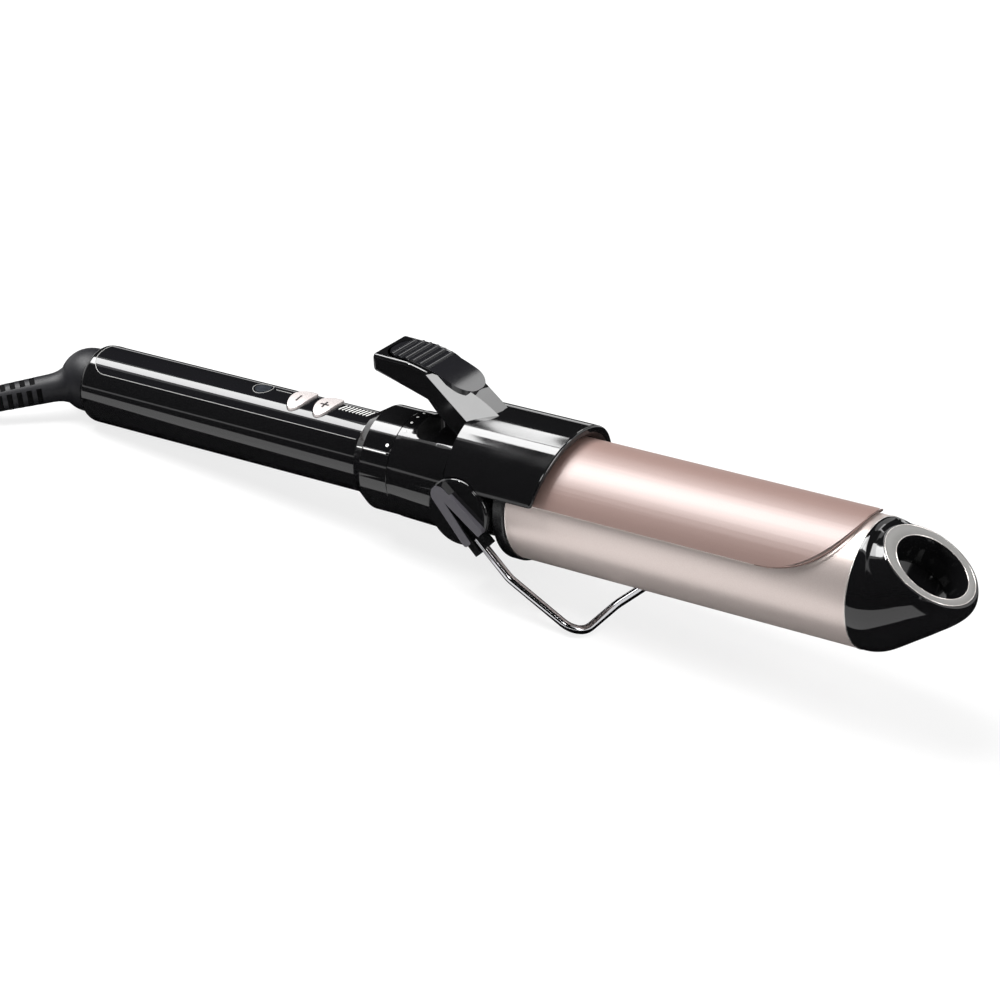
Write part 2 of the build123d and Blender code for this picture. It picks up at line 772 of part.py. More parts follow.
with BuildPart() as clamp_plate:
    with BuildSketch(Plane.YZ.offset(plate_start)):
        Circle(plate_radius)
        Circle(plate_inner_radius, mode=Mode.SUBTRACT)
        wedge(plate_half_angle, 2 * plate_radius)
    extrude(amount=plate_end - plate_start)
    with BuildSketch(Plane.XZ):
        with BuildLine():
            ThreePointArc((plate_end - plate_nose_length, plate_edge_height), plate_nose_middle,
                          (plate_end, plate_radius))
            Polyline((plate_end, plate_radius), (plate_end, 2 * plate_radius),
                     (2 * plate_end, 2 * plate_radius), (2 * plate_end, 0),
                     (plate_end - plate_nose_length, 0), (plate_end - plate_nose_length, plate_edge_height))
        make_face()
    extrude(amount=2 * plate_radius, both=True, mode=Mode.SUBTRACT)
    add(clamp_rivets.part, mode=Mode.SUBTRACT)

with BuildPart() as pivot_pin:
    with Locations(Location((pivot_x, 0, 0), (90, 0, 0))):
        Cylinder(pin_radius, 2 * pin_half_length)

spring_height = spring_turns * spring_pitch
spring_plane = Plane(origin=(pivot_x, -spring_height / 2, 0), x_dir=(-1, 0, 0), z_dir=(0, 1, 0))

with BuildPart() as spring_shape:
    with BuildLine() as spring_path:
        coil_line = Helix(spring_pitch, spring_height, spring_radius)
        Line(coil_line @ 1, coil_line @ 1 + (coil_line % 1) * spring_lever_leg)
        Line(coil_line @ 0 - (coil_line % 0) * spring_neck_leg, coil_line @ 0)
    spring_wire_line = spring_path.wires()[0]
    with BuildSketch(Plane(origin=spring_wire_line @ 0, z_dir=spring_wire_line % 0)):
        Circle(spring_wire / 2)
    sweep(path=spring_wire_line)

with BuildPart() as clamp_spring:
    add(spring_shape.part.moved(spring_plane.location))

# Stand: a bent wire between two hubs that turn on the ends of the cross pin.


def stand_point(reach, side):
    """Point of the stand wire at a reach ahead of and above the pivot, on one side of the iron."""
    return (pivot_x + reach[0], side * stand_half_width, reach[1])


foot_lean = sqrt(foot_reach[0] ** 2 + foot_reach[1] ** 2)
arch_reach = [length * (1 - foot_arch / foot_lean) for length in foot_reach]
wire_start = polar(arm_front - wire_socket, arm_angle)
knee_reach = polar(knee_distance, arm_angle)

with BuildPart() as stand_wire:
    with BuildLine() as wire_line:
        FilletPolyline(stand_point(wire_start, -1), stand_point(knee_reach, -1),
                       stand_point(foot_reach, -1), (pivot_x + arch_reach[0], 0, arch_reach[1]),
                       stand_point(foot_reach, 1), stand_point(knee_reach, 1), stand_point(wire_start, 1),
                       radius=[knee_bend, foot_bend, arch_bend, foot_bend, knee_bend])
    wire_path = wire_line.wires()[0]
    with BuildSketch(Plane(origin=wire_path @ 0, z_dir=wire_path % 0)):
        Circle(wire_radius)
    sweep(path=wire_path)

with BuildPart() as stand_hub_near:
    with BuildSketch(Plane.XZ.offset(hub_inner)):
        with Locations((pivot_x, 0)):
            Circle(hub_radius)
    extrude(amount=hub_thickness)
    chamfer(stand_hub_near.edges().filter_by(GeomType.CIRCLE).group_by(Axis.Y)[0], hub_edge)
    with BuildSketch(Plane.XZ.offset(arm_inner)):
        with Locations(Location((pivot_x, 0), arm_angle)):
            Polygon((-arm_rear, -arm_rear_width / 2), (arm_front, -arm_front_width / 2),
                    (arm_front, arm_front_width / 2), (-arm_rear, arm_rear_width / 2), align=None)
    extrude(amount=hub_outer + arm_height - arm_inner)
    with BuildSketch(Plane.XZ.offset(hub_outer)):
        with Locations(Location((pivot_x, 0), arm_angle)):
            Polygon((-arm_rear / 2, 0), (arm_front, -arm_groove_width / 2),
                    (arm_front, arm_groove_width / 2), align=None)
    extrude(amount=arm_height, mode=Mode.SUBTRACT)
    with BuildSketch(Plane.XZ.offset(hub_inner)):
        with Locations((pivot_x, 0)):
            Circle(pin_radius + pin_gap)
    extrude(amount=pin_half_length + side_gap - hub_inner, mode=Mode.SUBTRACT)
    add(stand_wire.part, mode=Mode.SUBTRACT)

with BuildPart() as stand_hub_far:
    add(stand_hub_near.part)
    mirror(about=Plane.XZ, mode=Mode.REPLACE)

# Swivel retainer and the mains leads inside the handle.

retainer_start = ball_radius - ball_back + side_gap

with BuildPart() as swivel_retainer:
    with BuildSketch(Plane.YZ.offset(retainer_start)):
        Circle(handle_bore - running_gap)
        Circle(cord_radius, mode=Mode.SUBTRACT)
    extrude(amount=retainer_thickness)

retainer_front = retainer_start + retainer_thickness

with BuildPart() as mains_leads:
    for side in (-1, 1):
        with Locations(Location((retainer_front, side * lead_side, board_top + lead_radius), (0, 90, 0))):
            Cylinder(lead_radius, board_start + lead_overlap - retainer_front,
                     align=(Align.CENTER, Align.CENTER, Align.MIN))

# Rest position: the iron leans back on the rear rim of the handle and on the stand's foot.

foot_span = pivot_x + foot_reach[0] - handle_rim_round
lean = degrees(atan2(-foot_reach[1] - handle_radius, foot_span))
for step in range(3):
    rear_low = handle_lower.part.moved(Location((0, 0, 0), (0, -lean, 0))).bounding_box().min.Z
    foot_low = stand_wire.part.moved(Location((0, 0, 0), (0, -lean, 0))).bounding_box().min.Z
    lean += degrees((rear_low - foot_low) / foot_span)

iron_pieces = {
    "handle_upper": handle_upper,
    "handle_lower": handle_lower,
    "control_panel": control_panel,
    "indicator_lens": indicator_lens,
    "status_emitter": status_emitter,
    "case_screws": case_screws,
    "circuit_board": circuit_board,
    "board_components": board_components,
    "switch_bodies": switch_bodies,
    "minus_button": minus_button,
    "minus_plunger": minus_plunger,
    "plus_button": plus_button,
    "plus_plunger": plus_plunger,
    "temperature_dial": temperature_dial,
    "dial_wiper": dial_wiper,
    "dial_track": dial_track,
    "neck_housing": neck_housing,
    "barrel_collar": barrel_collar,
    "barrel_tube": barrel_tube,
    "spreader_upper": spreader_upper,
    "spreader_lower": spreader_lower,
    "heater_element": heater_element,
    "thermal_fuse": thermal_fuse,
    "heater_leads": heater_leads,
    "tip_cap": tip_cap,
    "tip_ring": tip_ring,
    "clamp_lever": clamp_lever,
    "thumb_pad": thumb_pad,
    "clamp_plate": clamp_plate,
    "clamp_rivets": clamp_rivets,
    "pivot_pin": pivot_pin,
    "clamp_spring": clamp_spring,
    "stand_hub_near": stand_hub_near,
    "stand_hub_far": stand_hub_far,
    "stand_wire": stand_wire,
    "swivel_retainer": swivel_retainer,
    "mains_leads": mains_leads,
}

leaning = Location((0, 0, 0), (0, -lean, 0))
outline = Compound([builder.part.moved(leaning) for builder in iron_pieces.values()]).bounding_box()
rest = Location((-outline.center().X, -outline.center().Y, -outline.min.Z)) * leaning

# Swivel boot: ball, neck and slotted sleeve around its own axis, seated in the rear of the handle.

ball_centre = (rest * Location((ball_x, 0, 0))).position
boot_axis = Vector(-cos(radians(boot_turn)) * cos(radians(boot_drop)),
                   -sin(radians(boot_turn)) * cos(radians(boot_drop)), -sin(radians(boot_drop)))
boot_plane = Plane(origin=ball_centre, x_dir=boot_axis.cross(Vector(0, 0, 1)), z_dir=boot_axis)

with BuildPart() as boot_shape:
    Sphere(ball_radius)
    with BuildSketch(Plane.XZ):
        Polygon((0, 0), (boot_root_radius, 0), (boot_root_radius, boot_root_height),
                (boot_neck_radius, boot_neck_start), (boot_end_radius, boot_length),
                (0, boot_length), align=None)
    revolve(axis=Axis.Z)
    for slot in range(boot_slot_count):
        for turn in range(4):
            height = boot_neck_start + boot_slot_pitch * (slot + 1 + turn % 2 / 2)
            with Locations(Location((0, 0, height), (0, 0, 90 * turn))):
                with Locations((boot_neck_radius, 0, 0)):
                    Box(2 * boot_slot_depth, boot_slot_length, boot_slot_width, mode=Mode.SUBTRACT)

with BuildPart() as swivel_boot:
    add(boot_shape.part.moved(boot_plane.location))

# Cord: a short lead from the boot to the coil on the floor, the tied coil, and a tail to the plug on top.

cord_exit = ball_centre + boot_axis * boot_length
heading = Vector(boot_axis.X, boot_axis.Y, 0).normalized()
coil_half_width = coil_columns * cord_radius
outer_turn_radius = coil_mean_radius + coil_half_width - cord_radius
coil_height = 2 * coil_layers * cord_radius
coil_middle = tie_thickness + coil_height / 2
coil_centre = Vector(cord_exit.X, cord_exit.Y, 0) + heading * coil_distance
coil_centre += Vector(heading.Y, -heading.X, 0) * outer_turn_radius
coil_axis = Axis(coil_centre, (0, 0, 1))
tail_points = [coil_centre + Vector(*point) for point in tail_route]


def bend_radius(before, corner, after):
    """Largest bend that two runs of the cord leave room for at the corner between them."""
    half_turn = radians((corner - before).get_angle(after - corner) / 2)
    return 0.45 * min((corner - before).length, (after - corner).length) / tan(half_turn)


tail_bends = [bend_radius(*tail_points[i:i + 3]) for i in range(len(tail_points) - 2)]
print("bend radii of the cord's tail, mm:", [round(radius, 1) for radius in tail_bends])

with BuildPart() as mains_cord:
    with BuildSketch(boot_plane.offset(boot_length)):
        Circle(cord_radius)
    extrude(amount=lead_length)
    with BuildLine() as tail_line:
        FilletPolyline(*tail_points, radius=tail_bends)
    tail_path = tail_line.wires()[0]
    with BuildSketch(Plane(origin=tail_path @ 0, z_dir=tail_path % 0)):
        Circle(cord_radius)
    sweep(path=tail_path)

cord_section = radians(180) * cord_radius ** 2
print("cord volume against section times length:", mains_cord.part.volume / cord_section,
      lead_length + tail_path.length)

coil_side = Plane(origin=coil_centre + Vector(0, 0, coil_middle), x_dir=(1, 0, 0), z_dir=(0, -1, 0))

with BuildPart() as cord_coil:
    with BuildSketch(coil_side):
        with Locations((coil_mean_radius, 0)):
            RectangleRounded(2 * coil_half_width, coil_height, cord_radius)
    revolve(axis=coil_axis)

tie_reach = Vector(cos(radians(tie_angle)), sin(radians(tie_angle)), 0)
tie_side = Plane(origin=coil_side.origin, x_dir=tie_reach, z_dir=tie_reach.cross(Vector(0, 0, 1)))

with BuildPart() as cord_tie:
    with BuildSketch(tie_side):
        with Locations((coil_mean_radius, 0)):
            RectangleRounded(2 * (coil_half_width + tie_thickness), coil_height + 2 * tie_thickness,
                             cord_radius + tie_thickness)
            RectangleRounded(2 * coil_half_width, coil_height, cord_radius, mode=Mode.SUBTRACT)
    revolve(axis=coil_axis, revolution_arc=tie_arc)

plug_plane = Plane(origin=tail_points[-1], x_dir=(0, 1, 0), z_dir=(0, 0, 1))
pin_plane = Plane(origin=tail_points[-1] - Vector(plug_length - plug_pin_root, 0, 0), x_dir=(0, 1, 0),
                  z_dir=(-1, 0, 0))

with BuildPart() as plug_body:
    with BuildSketch(plug_plane) as plug_outline:
        Polygon((-plug_neck_width / 2, 0), (plug_neck_width / 2, 0),
                (plug_neck_width / 2, plug_neck_length), (plug_width / 2, plug_shoulder),
                (plug_width / 2, plug_length),
                (-plug_width / 2, plug_length), (-plug_width / 2, plug_shoulder),
                (-plug_neck_width / 2, plug_neck_length), align=None)
        fillet(plug_outline.vertices().group_by(Axis.X)[1:-1], plug_corner)
    extrude(amount=plug_thickness / 2, both=True)
    chamfer(plug_body.faces().filter_by(Axis.Z).edges(), plug_edge)
    with BuildSketch(pin_plane):
        with GridLocations(plug_pin_spacing, 0, 2, 1):
            Circle(plug_pin_root_radius)
    extrude(amount=plug_pin_root, mode=Mode.SUBTRACT)

with BuildPart() as plug_pins:
    with BuildSketch(pin_plane):
        with GridLocations(plug_pin_spacing, 0, 2, 1):
            Circle(plug_pin_root_radius)
    extrude(amount=plug_pin_root)
    with BuildSketch(pin_plane.offset(plug_pin_root)):
        with GridLocations(plug_pin_spacing, 0, 2, 1):
            Circle(plug_pin_radius)
    extrude(amount=plug_pin_length)
    fillet(plug_pins.edges().group_by(Axis.X)[0], plug_pin_round)

os.makedirs("parts", exist_ok=True)
for label, builder in iron_pieces.items():
    solid = builder.part.moved(rest)
    solid.label = label
    export_step(solid, f"parts/{label}.step")

cord_pieces = {
    "swivel_boot": swivel_boot,
    "mains_cord": mains_cord,
    "cord_coil": cord_coil,
    "cord_tie": cord_tie,
    "plug_body": plug_body,
    "plug_pins": plug_pins,
}
for label, builder in cord_pieces.items():
    builder.part.label = label
    export_step(builder.part, f"parts/{label}.step")
print("coil centre", coil_centre, "cord exit", cord_exit, "rest", rest.position, "lean", lean)
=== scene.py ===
# %% [markdown]
# # A curling iron with a sprung clamp
#
# The CAD model gives every solid of the iron its place and size. This file dresses it: the finishes, the
# rounded edges that catch the light, the cord, the printed marks and the studio around it. Each step has
# a few words on what the real thing is and on how it is made here.

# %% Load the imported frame
import json
import math

import bmesh
import bpy
import numpy as np
from mathutils import Matrix, Vector
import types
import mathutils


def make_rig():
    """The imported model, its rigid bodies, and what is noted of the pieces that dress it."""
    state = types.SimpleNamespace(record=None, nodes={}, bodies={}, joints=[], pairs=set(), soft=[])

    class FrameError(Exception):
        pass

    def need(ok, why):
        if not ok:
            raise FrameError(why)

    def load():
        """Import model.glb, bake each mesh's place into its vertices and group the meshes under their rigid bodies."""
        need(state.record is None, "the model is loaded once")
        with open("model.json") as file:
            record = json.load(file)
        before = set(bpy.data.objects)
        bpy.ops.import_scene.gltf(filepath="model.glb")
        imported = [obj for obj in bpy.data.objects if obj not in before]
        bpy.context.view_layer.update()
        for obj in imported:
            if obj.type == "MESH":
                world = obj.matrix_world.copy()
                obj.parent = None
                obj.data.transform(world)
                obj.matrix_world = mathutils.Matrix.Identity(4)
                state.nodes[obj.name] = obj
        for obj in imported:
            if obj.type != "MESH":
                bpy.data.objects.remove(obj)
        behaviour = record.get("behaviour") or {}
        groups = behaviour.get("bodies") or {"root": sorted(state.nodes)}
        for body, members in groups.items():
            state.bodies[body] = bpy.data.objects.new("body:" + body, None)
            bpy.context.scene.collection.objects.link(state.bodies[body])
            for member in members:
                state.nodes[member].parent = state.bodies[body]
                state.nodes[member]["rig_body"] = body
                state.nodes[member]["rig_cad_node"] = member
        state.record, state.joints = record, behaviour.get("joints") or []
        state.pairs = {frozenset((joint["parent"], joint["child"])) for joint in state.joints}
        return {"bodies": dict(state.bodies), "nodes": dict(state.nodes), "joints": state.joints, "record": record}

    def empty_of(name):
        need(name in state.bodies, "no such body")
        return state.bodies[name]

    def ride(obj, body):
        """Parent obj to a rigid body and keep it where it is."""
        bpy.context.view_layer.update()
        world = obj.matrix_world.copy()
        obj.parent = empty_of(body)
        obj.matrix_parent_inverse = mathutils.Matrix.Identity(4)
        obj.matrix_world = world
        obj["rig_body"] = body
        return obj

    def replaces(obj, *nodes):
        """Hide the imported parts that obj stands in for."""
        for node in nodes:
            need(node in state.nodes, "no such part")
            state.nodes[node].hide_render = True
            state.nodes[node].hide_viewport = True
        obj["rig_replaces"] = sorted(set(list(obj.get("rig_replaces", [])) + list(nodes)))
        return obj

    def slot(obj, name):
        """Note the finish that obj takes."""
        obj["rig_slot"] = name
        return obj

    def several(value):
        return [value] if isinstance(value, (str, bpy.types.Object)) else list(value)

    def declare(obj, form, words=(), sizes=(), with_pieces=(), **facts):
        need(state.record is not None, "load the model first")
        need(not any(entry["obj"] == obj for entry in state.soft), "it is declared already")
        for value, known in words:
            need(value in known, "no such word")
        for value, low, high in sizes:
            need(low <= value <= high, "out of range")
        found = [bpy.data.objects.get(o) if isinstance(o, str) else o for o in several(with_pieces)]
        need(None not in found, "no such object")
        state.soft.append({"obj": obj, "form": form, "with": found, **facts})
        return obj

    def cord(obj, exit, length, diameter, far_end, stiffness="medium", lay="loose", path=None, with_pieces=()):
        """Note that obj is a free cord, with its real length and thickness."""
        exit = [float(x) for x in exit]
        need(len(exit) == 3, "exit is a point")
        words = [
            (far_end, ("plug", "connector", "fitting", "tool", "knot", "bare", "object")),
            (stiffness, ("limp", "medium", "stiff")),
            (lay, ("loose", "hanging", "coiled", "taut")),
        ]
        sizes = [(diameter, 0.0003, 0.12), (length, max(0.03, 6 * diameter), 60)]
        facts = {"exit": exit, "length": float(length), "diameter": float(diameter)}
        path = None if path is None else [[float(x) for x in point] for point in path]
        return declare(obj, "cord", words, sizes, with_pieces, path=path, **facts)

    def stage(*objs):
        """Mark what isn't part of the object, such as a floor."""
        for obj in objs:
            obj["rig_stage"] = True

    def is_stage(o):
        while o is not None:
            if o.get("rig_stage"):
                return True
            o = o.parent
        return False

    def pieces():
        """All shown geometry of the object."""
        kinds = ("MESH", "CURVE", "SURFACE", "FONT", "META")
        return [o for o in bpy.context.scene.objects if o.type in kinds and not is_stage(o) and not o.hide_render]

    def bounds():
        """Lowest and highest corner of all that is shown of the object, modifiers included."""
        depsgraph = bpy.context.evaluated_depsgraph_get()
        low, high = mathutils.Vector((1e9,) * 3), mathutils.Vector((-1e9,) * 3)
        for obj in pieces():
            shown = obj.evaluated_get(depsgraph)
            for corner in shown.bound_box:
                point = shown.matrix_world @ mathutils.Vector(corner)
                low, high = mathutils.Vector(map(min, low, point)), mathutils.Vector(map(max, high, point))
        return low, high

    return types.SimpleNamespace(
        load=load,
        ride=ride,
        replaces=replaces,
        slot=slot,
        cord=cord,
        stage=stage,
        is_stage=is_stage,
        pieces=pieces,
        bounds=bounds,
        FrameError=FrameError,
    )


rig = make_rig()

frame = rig.load()
cad_box = [list(corner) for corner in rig.bounds()]
scene = bpy.context.scene
scene.view_settings.view_transform = "Standard"
print("CAD box in metres:", cad_box)

# %% [markdown]
# ## Camera
#
# The photograph looks at the iron from the front right and a little above, with a long lens. The
# position, the turn and the small roll come from a fit of the barrel, the handle and the tip to the
# picture, so the camera is set from those numbers and not aimed by hand.

# %% Camera
def put(name, data):
    """Links a new object with this data to the scene, at the origin."""
    made = bpy.data.objects.new(name, data)
    scene.collection.objects.link(made)
    return made


camera_place = Vector((0.47038, -0.71455, 0.48842))
azimuth, elevation, roll = (math.radians(angle) for angle in (33.32, 28.611, 2.48))
back = Vector((math.sin(azimuth) * math.cos(elevation), -math.cos(azimuth) * math.cos(elevation),
               math.sin(elevation)))
level = Vector((math.cos(azimuth), math.sin(azimuth), 0))
right = level * math.cos(roll) + back.cross(level) * math.sin(roll)
camera_axes = Matrix((right, back.cross(right), back)).transposed().to_4x4()
lens = bpy.data.cameras.new("camera")
lens.lens = 117.6
lens.sensor_width = 36
lens.clip_start = 0.01
camera = put("camera", lens)
camera.matrix_world = Matrix.Translation(camera_place) @ camera_axes
scene.camera = camera
print("camera looks along", [round(-value, 3) for value in back])

# %% [markdown]
# ## The iron's own axes
#
# The iron leans back on its stand, so its parts are easier to describe along its own axis: x runs from
# the rear rim of the handle to the tip, z is the side of the thumb lever. One matrix brings such a point,
# in millimetres, to its place on the floor in metres.

# %% From the iron's axes to the floor
MM = 0.001
REAR_RIM = Vector((-0.154383, 0, 0.0123472))
LEAN = math.radians(5.393455)
TIP_X = 311.3
iron = Matrix.Translation(REAR_RIM) @ Matrix.Rotation(-LEAN, 4, "Y") @ Matrix.Scale(MM, 4)
to_iron = iron.inverted()
iron_axis = (iron.to_3x3() @ Vector((1, 0, 0))).normalized()


def around(x, radius, turn):
    """Point on a round part: turn is 0 at the lever's side and grows towards the camera's side."""
    return Vector((x, -radius * math.sin(math.radians(turn)), radius * math.cos(math.radians(turn))))


print("tip of the iron at", [round(value, 4) for value in iron @ Vector((TIP_X, 0, 0))])

# %% [markdown]
# ## A node at a time
#
# Materials and Geometry Nodes trees are both made of nodes. One small function adds a node, sets its
# properties and fills its inputs, either with a value or with a link from another node's output. A second
# one turns sRGB hex colours, as a picture has them, into the linear colours that a shader wants.

# %% Node and colour helpers
def node(tree, kind, inputs=None, **settings):
    """Adds one node; inputs maps a socket's name or number to a value or to an output to link."""
    made = tree.nodes.new(kind)
    for name, value in settings.items():
        setattr(made, name, value)
    for socket, value in (inputs or {}).items():
        if isinstance(value, bpy.types.NodeSocket):
            tree.links.new(value, made.inputs[socket])
        else:
            made.inputs[socket].default_value = value
    return made


def linear(hex_code):
    """sRGB hex to linear RGBA."""
    parts = [int(hex_code[i:i + 2], 16) / 255 for i in (1, 3, 5)]
    return [c / 12.92 if c <= 0.04045 else ((c + 0.055) / 1.055) ** 2.4 for c in parts] + [1.0]


print("the middle grey #808080 is", round(linear("#808080")[0], 3), "in linear light")

# %% [markdown]
# ## A finish with a grain
#
# No real surface is one flat colour: mouldings are a little wavy, blasted metal and rubber have a grain,
# and paint varies in tone. A picture of each surface would do, but noise of a real size in millimetres
# needs no file and has no seams. The same noise lifts the surface and, where the real one shows it,
# shifts its tone and its polish.

# %% Start a material
def start_material(name, colour, roughness, metallic=0.0, **sockets):
    """A material with a Principled shader; returns it, its tree, the shader and Object coordinates."""
    made = bpy.data.materials.new(name)
    made.use_nodes = True
    tree = made.node_tree
    shader = tree.nodes["Principled BSDF"]
    shader.inputs["Base Color"].default_value = linear(colour)
    shader.inputs["Roughness"].default_value = roughness
    shader.inputs["Metallic"].default_value = metallic
    for socket, value in sockets.items():
        shader.inputs[socket.replace("_", " ")].default_value = value
    place = node(tree, "ShaderNodeTexCoord").outputs["Object"]
    return made, tree, shader, place


print("plain materials ready")

# %% Give it a grain
# Noise hardly ever leaves this range.
NOISE_LOW, NOISE_HIGH = 0.3, 0.7


def grained(name, colour, roughness, grain_mm, lift_mm, tones=None, polish=None, metallic=0.0, **sockets):
    """Material whose noise lifts its surface, and may spread its tone and roughness between two values."""
    made, tree, shader, place = start_material(name, colour, roughness, metallic, **sockets)
    noise = node(tree, "ShaderNodeTexNoise", {"Vector": place, "Scale": 1 / (grain_mm * MM), "Detail": 3.0})
    height = noise.outputs["Fac"]
    bump = node(tree, "ShaderNodeBump", {"Height": height, "Distance": lift_mm * MM, "Strength": 1.0})
    tree.links.new(bump.outputs["Normal"], shader.inputs["Normal"])
    if tones:
        ramp = node(tree, "ShaderNodeValToRGB", {"Fac": height})
        for stop, position, tone in zip(ramp.color_ramp.elements, (NOISE_LOW, NOISE_HIGH), tones):
            stop.position = position
            stop.color = linear(tone)
        tree.links.new(ramp.outputs["Color"], shader.inputs["Base Color"])
    if polish:
        spread = node(tree, "ShaderNodeMapRange", {
            "Value": height, "From Min": NOISE_LOW, "From Max": NOISE_HIGH, "To Min": polish[0],
            "To Max": polish[1]})
        tree.links.new(spread.outputs["Result"], shader.inputs["Roughness"])
    return made


print("grain helper ready")

# %% [markdown]
# ## Black plastics
#
# The handle, the neck, the lever and the tip are ABS from a polished mould: deep black, so smooth that a
# lamp shows as a band with a sharp edge. A flat black would look like a hole, so the surface gets the
# very shallow waviness that such mouldings have, about a centimetre long, and a little variation of its
# polish.

# %% Polished and satin black
# Deep black with crisp reflections, whose edges swim by a hair.
gloss_black = grained("abs_polished_black", "#0f0f10", 0.06, 9.0, 0.0012, polish=(0.04, 0.085), IOR=1.6)

# A flatter, glassier black than the moulding around it.
panel_black = grained("acrylic_polished_black", "#121214", 0.05, 14.0, 0.0008, polish=(0.035, 0.06),
                      IOR=1.5)

# A dull sheen from an etched mould, whose grain is drawn coarse, at half a millimetre.
satin_black = grained("abs_satin_black", "#101012", 0.28, 0.5, 0.004, polish=(0.24, 0.34), IOR=1.54)
print("black plastics:", gloss_black.name, panel_black.name, satin_black.name)

# %% [markdown]
# ## Coated and plated metals
#
# The barrel and the clamp plate wear ceramic lacquers, champagne and rose, over metal that is finely
# blasted first, so a lamp becomes a broad soft glow. The stand's wire is chromed, the plug's pins are
# nickel-plated and the small steel parts are zinc-plated. A plain metal shader gives the plated ones. The
# lacquers are part metal and part body colour, because they keep their tint where a metal would only
# mirror the studio. Blasting and plating are far too fine to see from here, and are drawn at a third of a
# millimetre or more.

# %% Ceramic lacquers, and a painted highlight and shade for edges
# Pale and warm, with a wide soft highlight along the tube.
champagne = grained("champagne_ceramic_lacquer", "#d3c6c1", 0.38, 0.35, 0.0008,
                    tones=("#d0c2bd", "#d6cac5"), polish=(0.36, 0.4), metallic=0.65)

# Deeper and hardly metallic: a body colour under a hard ceramic, whose high IOR keeps the glow.
rose = grained("rose_ceramic_lacquer", "#83675f", 0.5, 0.3, 0.0007, tones=("#80645c", "#876b63"),
               polish=(0.48, 0.52), metallic=0.1, IOR=2.2)

# Painted highlight: a near-white metal for thin lines along edges, standing in for the light that the edges catch.
rim_highlight_paint = grained("rim_burnished_metal", "#efe8e4", 0.22, 0.5, 0.001, tones=("#e9e1dc", "#f4efec"),
                     metallic=0.8)

# Painted shade: a darker metal for the dark line along the plate's nose, standing in for the shadow of its cut edge.
nose_shade_paint = grained("edge_stamped_metal", "#6a544d", 0.4, 0.3, 0.002, tones=("#5f4a44", "#755e57"),
                    metallic=0.5)
print("lacquers:", champagne.name, rose.name)

# %% Chrome, zinc, spring steel and nickel
# Nearly a mirror, a little scuffed.
chrome = grained("chromed_steel_wire", "#cfcfd2", 0.09, 0.8, 0.0015, polish=(0.06, 0.14), metallic=1.0)

# A greyish shine, mottled by the plating.
zinc_steel = grained("zinc_plated_steel", "#b4b6ba", 0.3, 0.4, 0.003, tones=("#a5a8ad", "#c2c3c5"),
                     polish=(0.24, 0.4), metallic=1.0)

# Darker drawn wire with a dull shine.
spring_steel = grained("drawn_spring_steel", "#8e8f93", 0.34, 0.3, 0.003, tones=("#7d7e83", "#9c9da1"),
                       metallic=1.0)

# Bright and a little yellow, because the brass shows through.
pin_nickel = grained("nickel_plated_brass", "#d3ccbd", 0.18, 0.5, 0.002, tones=("#c9c1b0", "#dad5c9"),
                     polish=(0.14, 0.24), metallic=1.0)
print("plated metals:", chrome.name, zinc_steel.name, spring_steel.name, pin_nickel.name)

# %% [markdown]
# ## Softer and smaller finishes
#
# The cord's boot is a rubbery thermoplastic with a spark-eroded grain, the thumb pad is a firmer rubber,
# the grey ring at the tip is painted, the buttons carry a pinkish metallic lacquer, and the marks are
# pad-printed. One shader with other numbers gives them all but the woven tie. The real grains are a tenth
# of a millimetre or less, and most are drawn two to four times as coarse, so that they show.

# %% Rubber, cord and grained plastic
# Dark and matt, so the boot looks greyer than the glossy handle.
boot_rubber = grained("boot_grained_rubber", "#141417", 0.46, 0.35, 0.008, tones=("#111114", "#19191d"),
                      polish=(0.42, 0.52), Specular_IOR_Level=0.3)

# Painted shade for the slots' walls: darker than the boot's rubber and hardly reflecting, so that each slot reads as a
# dark gap.
slot_shade_paint = grained("slot_matt_rubber", "#070708", 0.85, 0.35, 0.008, tones=("#060607", "#09090a"),
                      Specular_IOR_Level=0.1)

# A soft shine with slightly duller patches.
cord_rubber = grained("cord_soft_pvc", "#141416", 0.42, 0.6, 0.012, tones=("#111113", "#19191c"),
                      polish=(0.36, 0.5), IOR=1.52)

# Firm and rubbed smooth by thumbs, so that its ridges catch thin lines of light.
pad_rubber = grained("pad_polished_rubber", "#18181a", 0.13, 0.25, 0.003, tones=("#151517", "#1c1c1f"),
                     polish=(0.11, 0.15), IOR=1.55)

# Black grained ABS drawn in a mid grey: the grain and its scatter are real, and the grey is a painted sheen, standing
# in for the white floor that the grain reflects.
tongue_sheen_and_grain = grained("abs_spark_grained_black", "#47454b", 0.55, 0.25, 0.004,
                       tones=("#434147", "#4c4a50"), polish=(0.5, 0.6), IOR=1.5)

# A soft shine much like the cord's.
plug_plastic = grained("plug_moulded_pvc", "#161618", 0.4, 0.4, 0.012, tones=("#131315", "#1c1c1f"),
                       polish=(0.34, 0.46), IOR=1.53)
print("rubbers:", boot_rubber.name, pad_rubber.name, cord_rubber.name)

# %% Paint, ink, lens and tie
# A quiet mid grey that sets the ring off from the black tip.
ring_grey = grained("ring_satin_grey_paint", "#737270", 0.36, 0.3, 0.002, tones=("#6e6d6b", "#797876"),
                    polish=(0.32, 0.42))

# Pale pink with a fine sparkle, from flakes that are drawn a few times too large.
button_rose = grained("button_metallic_lacquer", "#d8d0ce", 0.26, 0.12, 0.001, tones=("#d1c8c6", "#ded7d5"),
                      polish=(0.22, 0.3), metallic=0.3)

# Opaque marks that stand out from the black, slightly mottled.
white_ink = grained("pad_print_white_ink", "#e9e9e6", 0.45, 0.2, 0.002, tones=("#dededb", "#f2f2f0"))

# Thinner marks that let some black through.
grey_ink = grained("pad_print_grey_ink", "#9a9a98", 0.45, 0.2, 0.002, tones=("#8b8b89", "#a5a5a3"))

# Nearly black signs on the pale buttons.
dark_ink = grained("pad_print_dark_ink", "#1b1718", 0.45, 0.2, 0.002, tones=("#171314", "#231f20"))

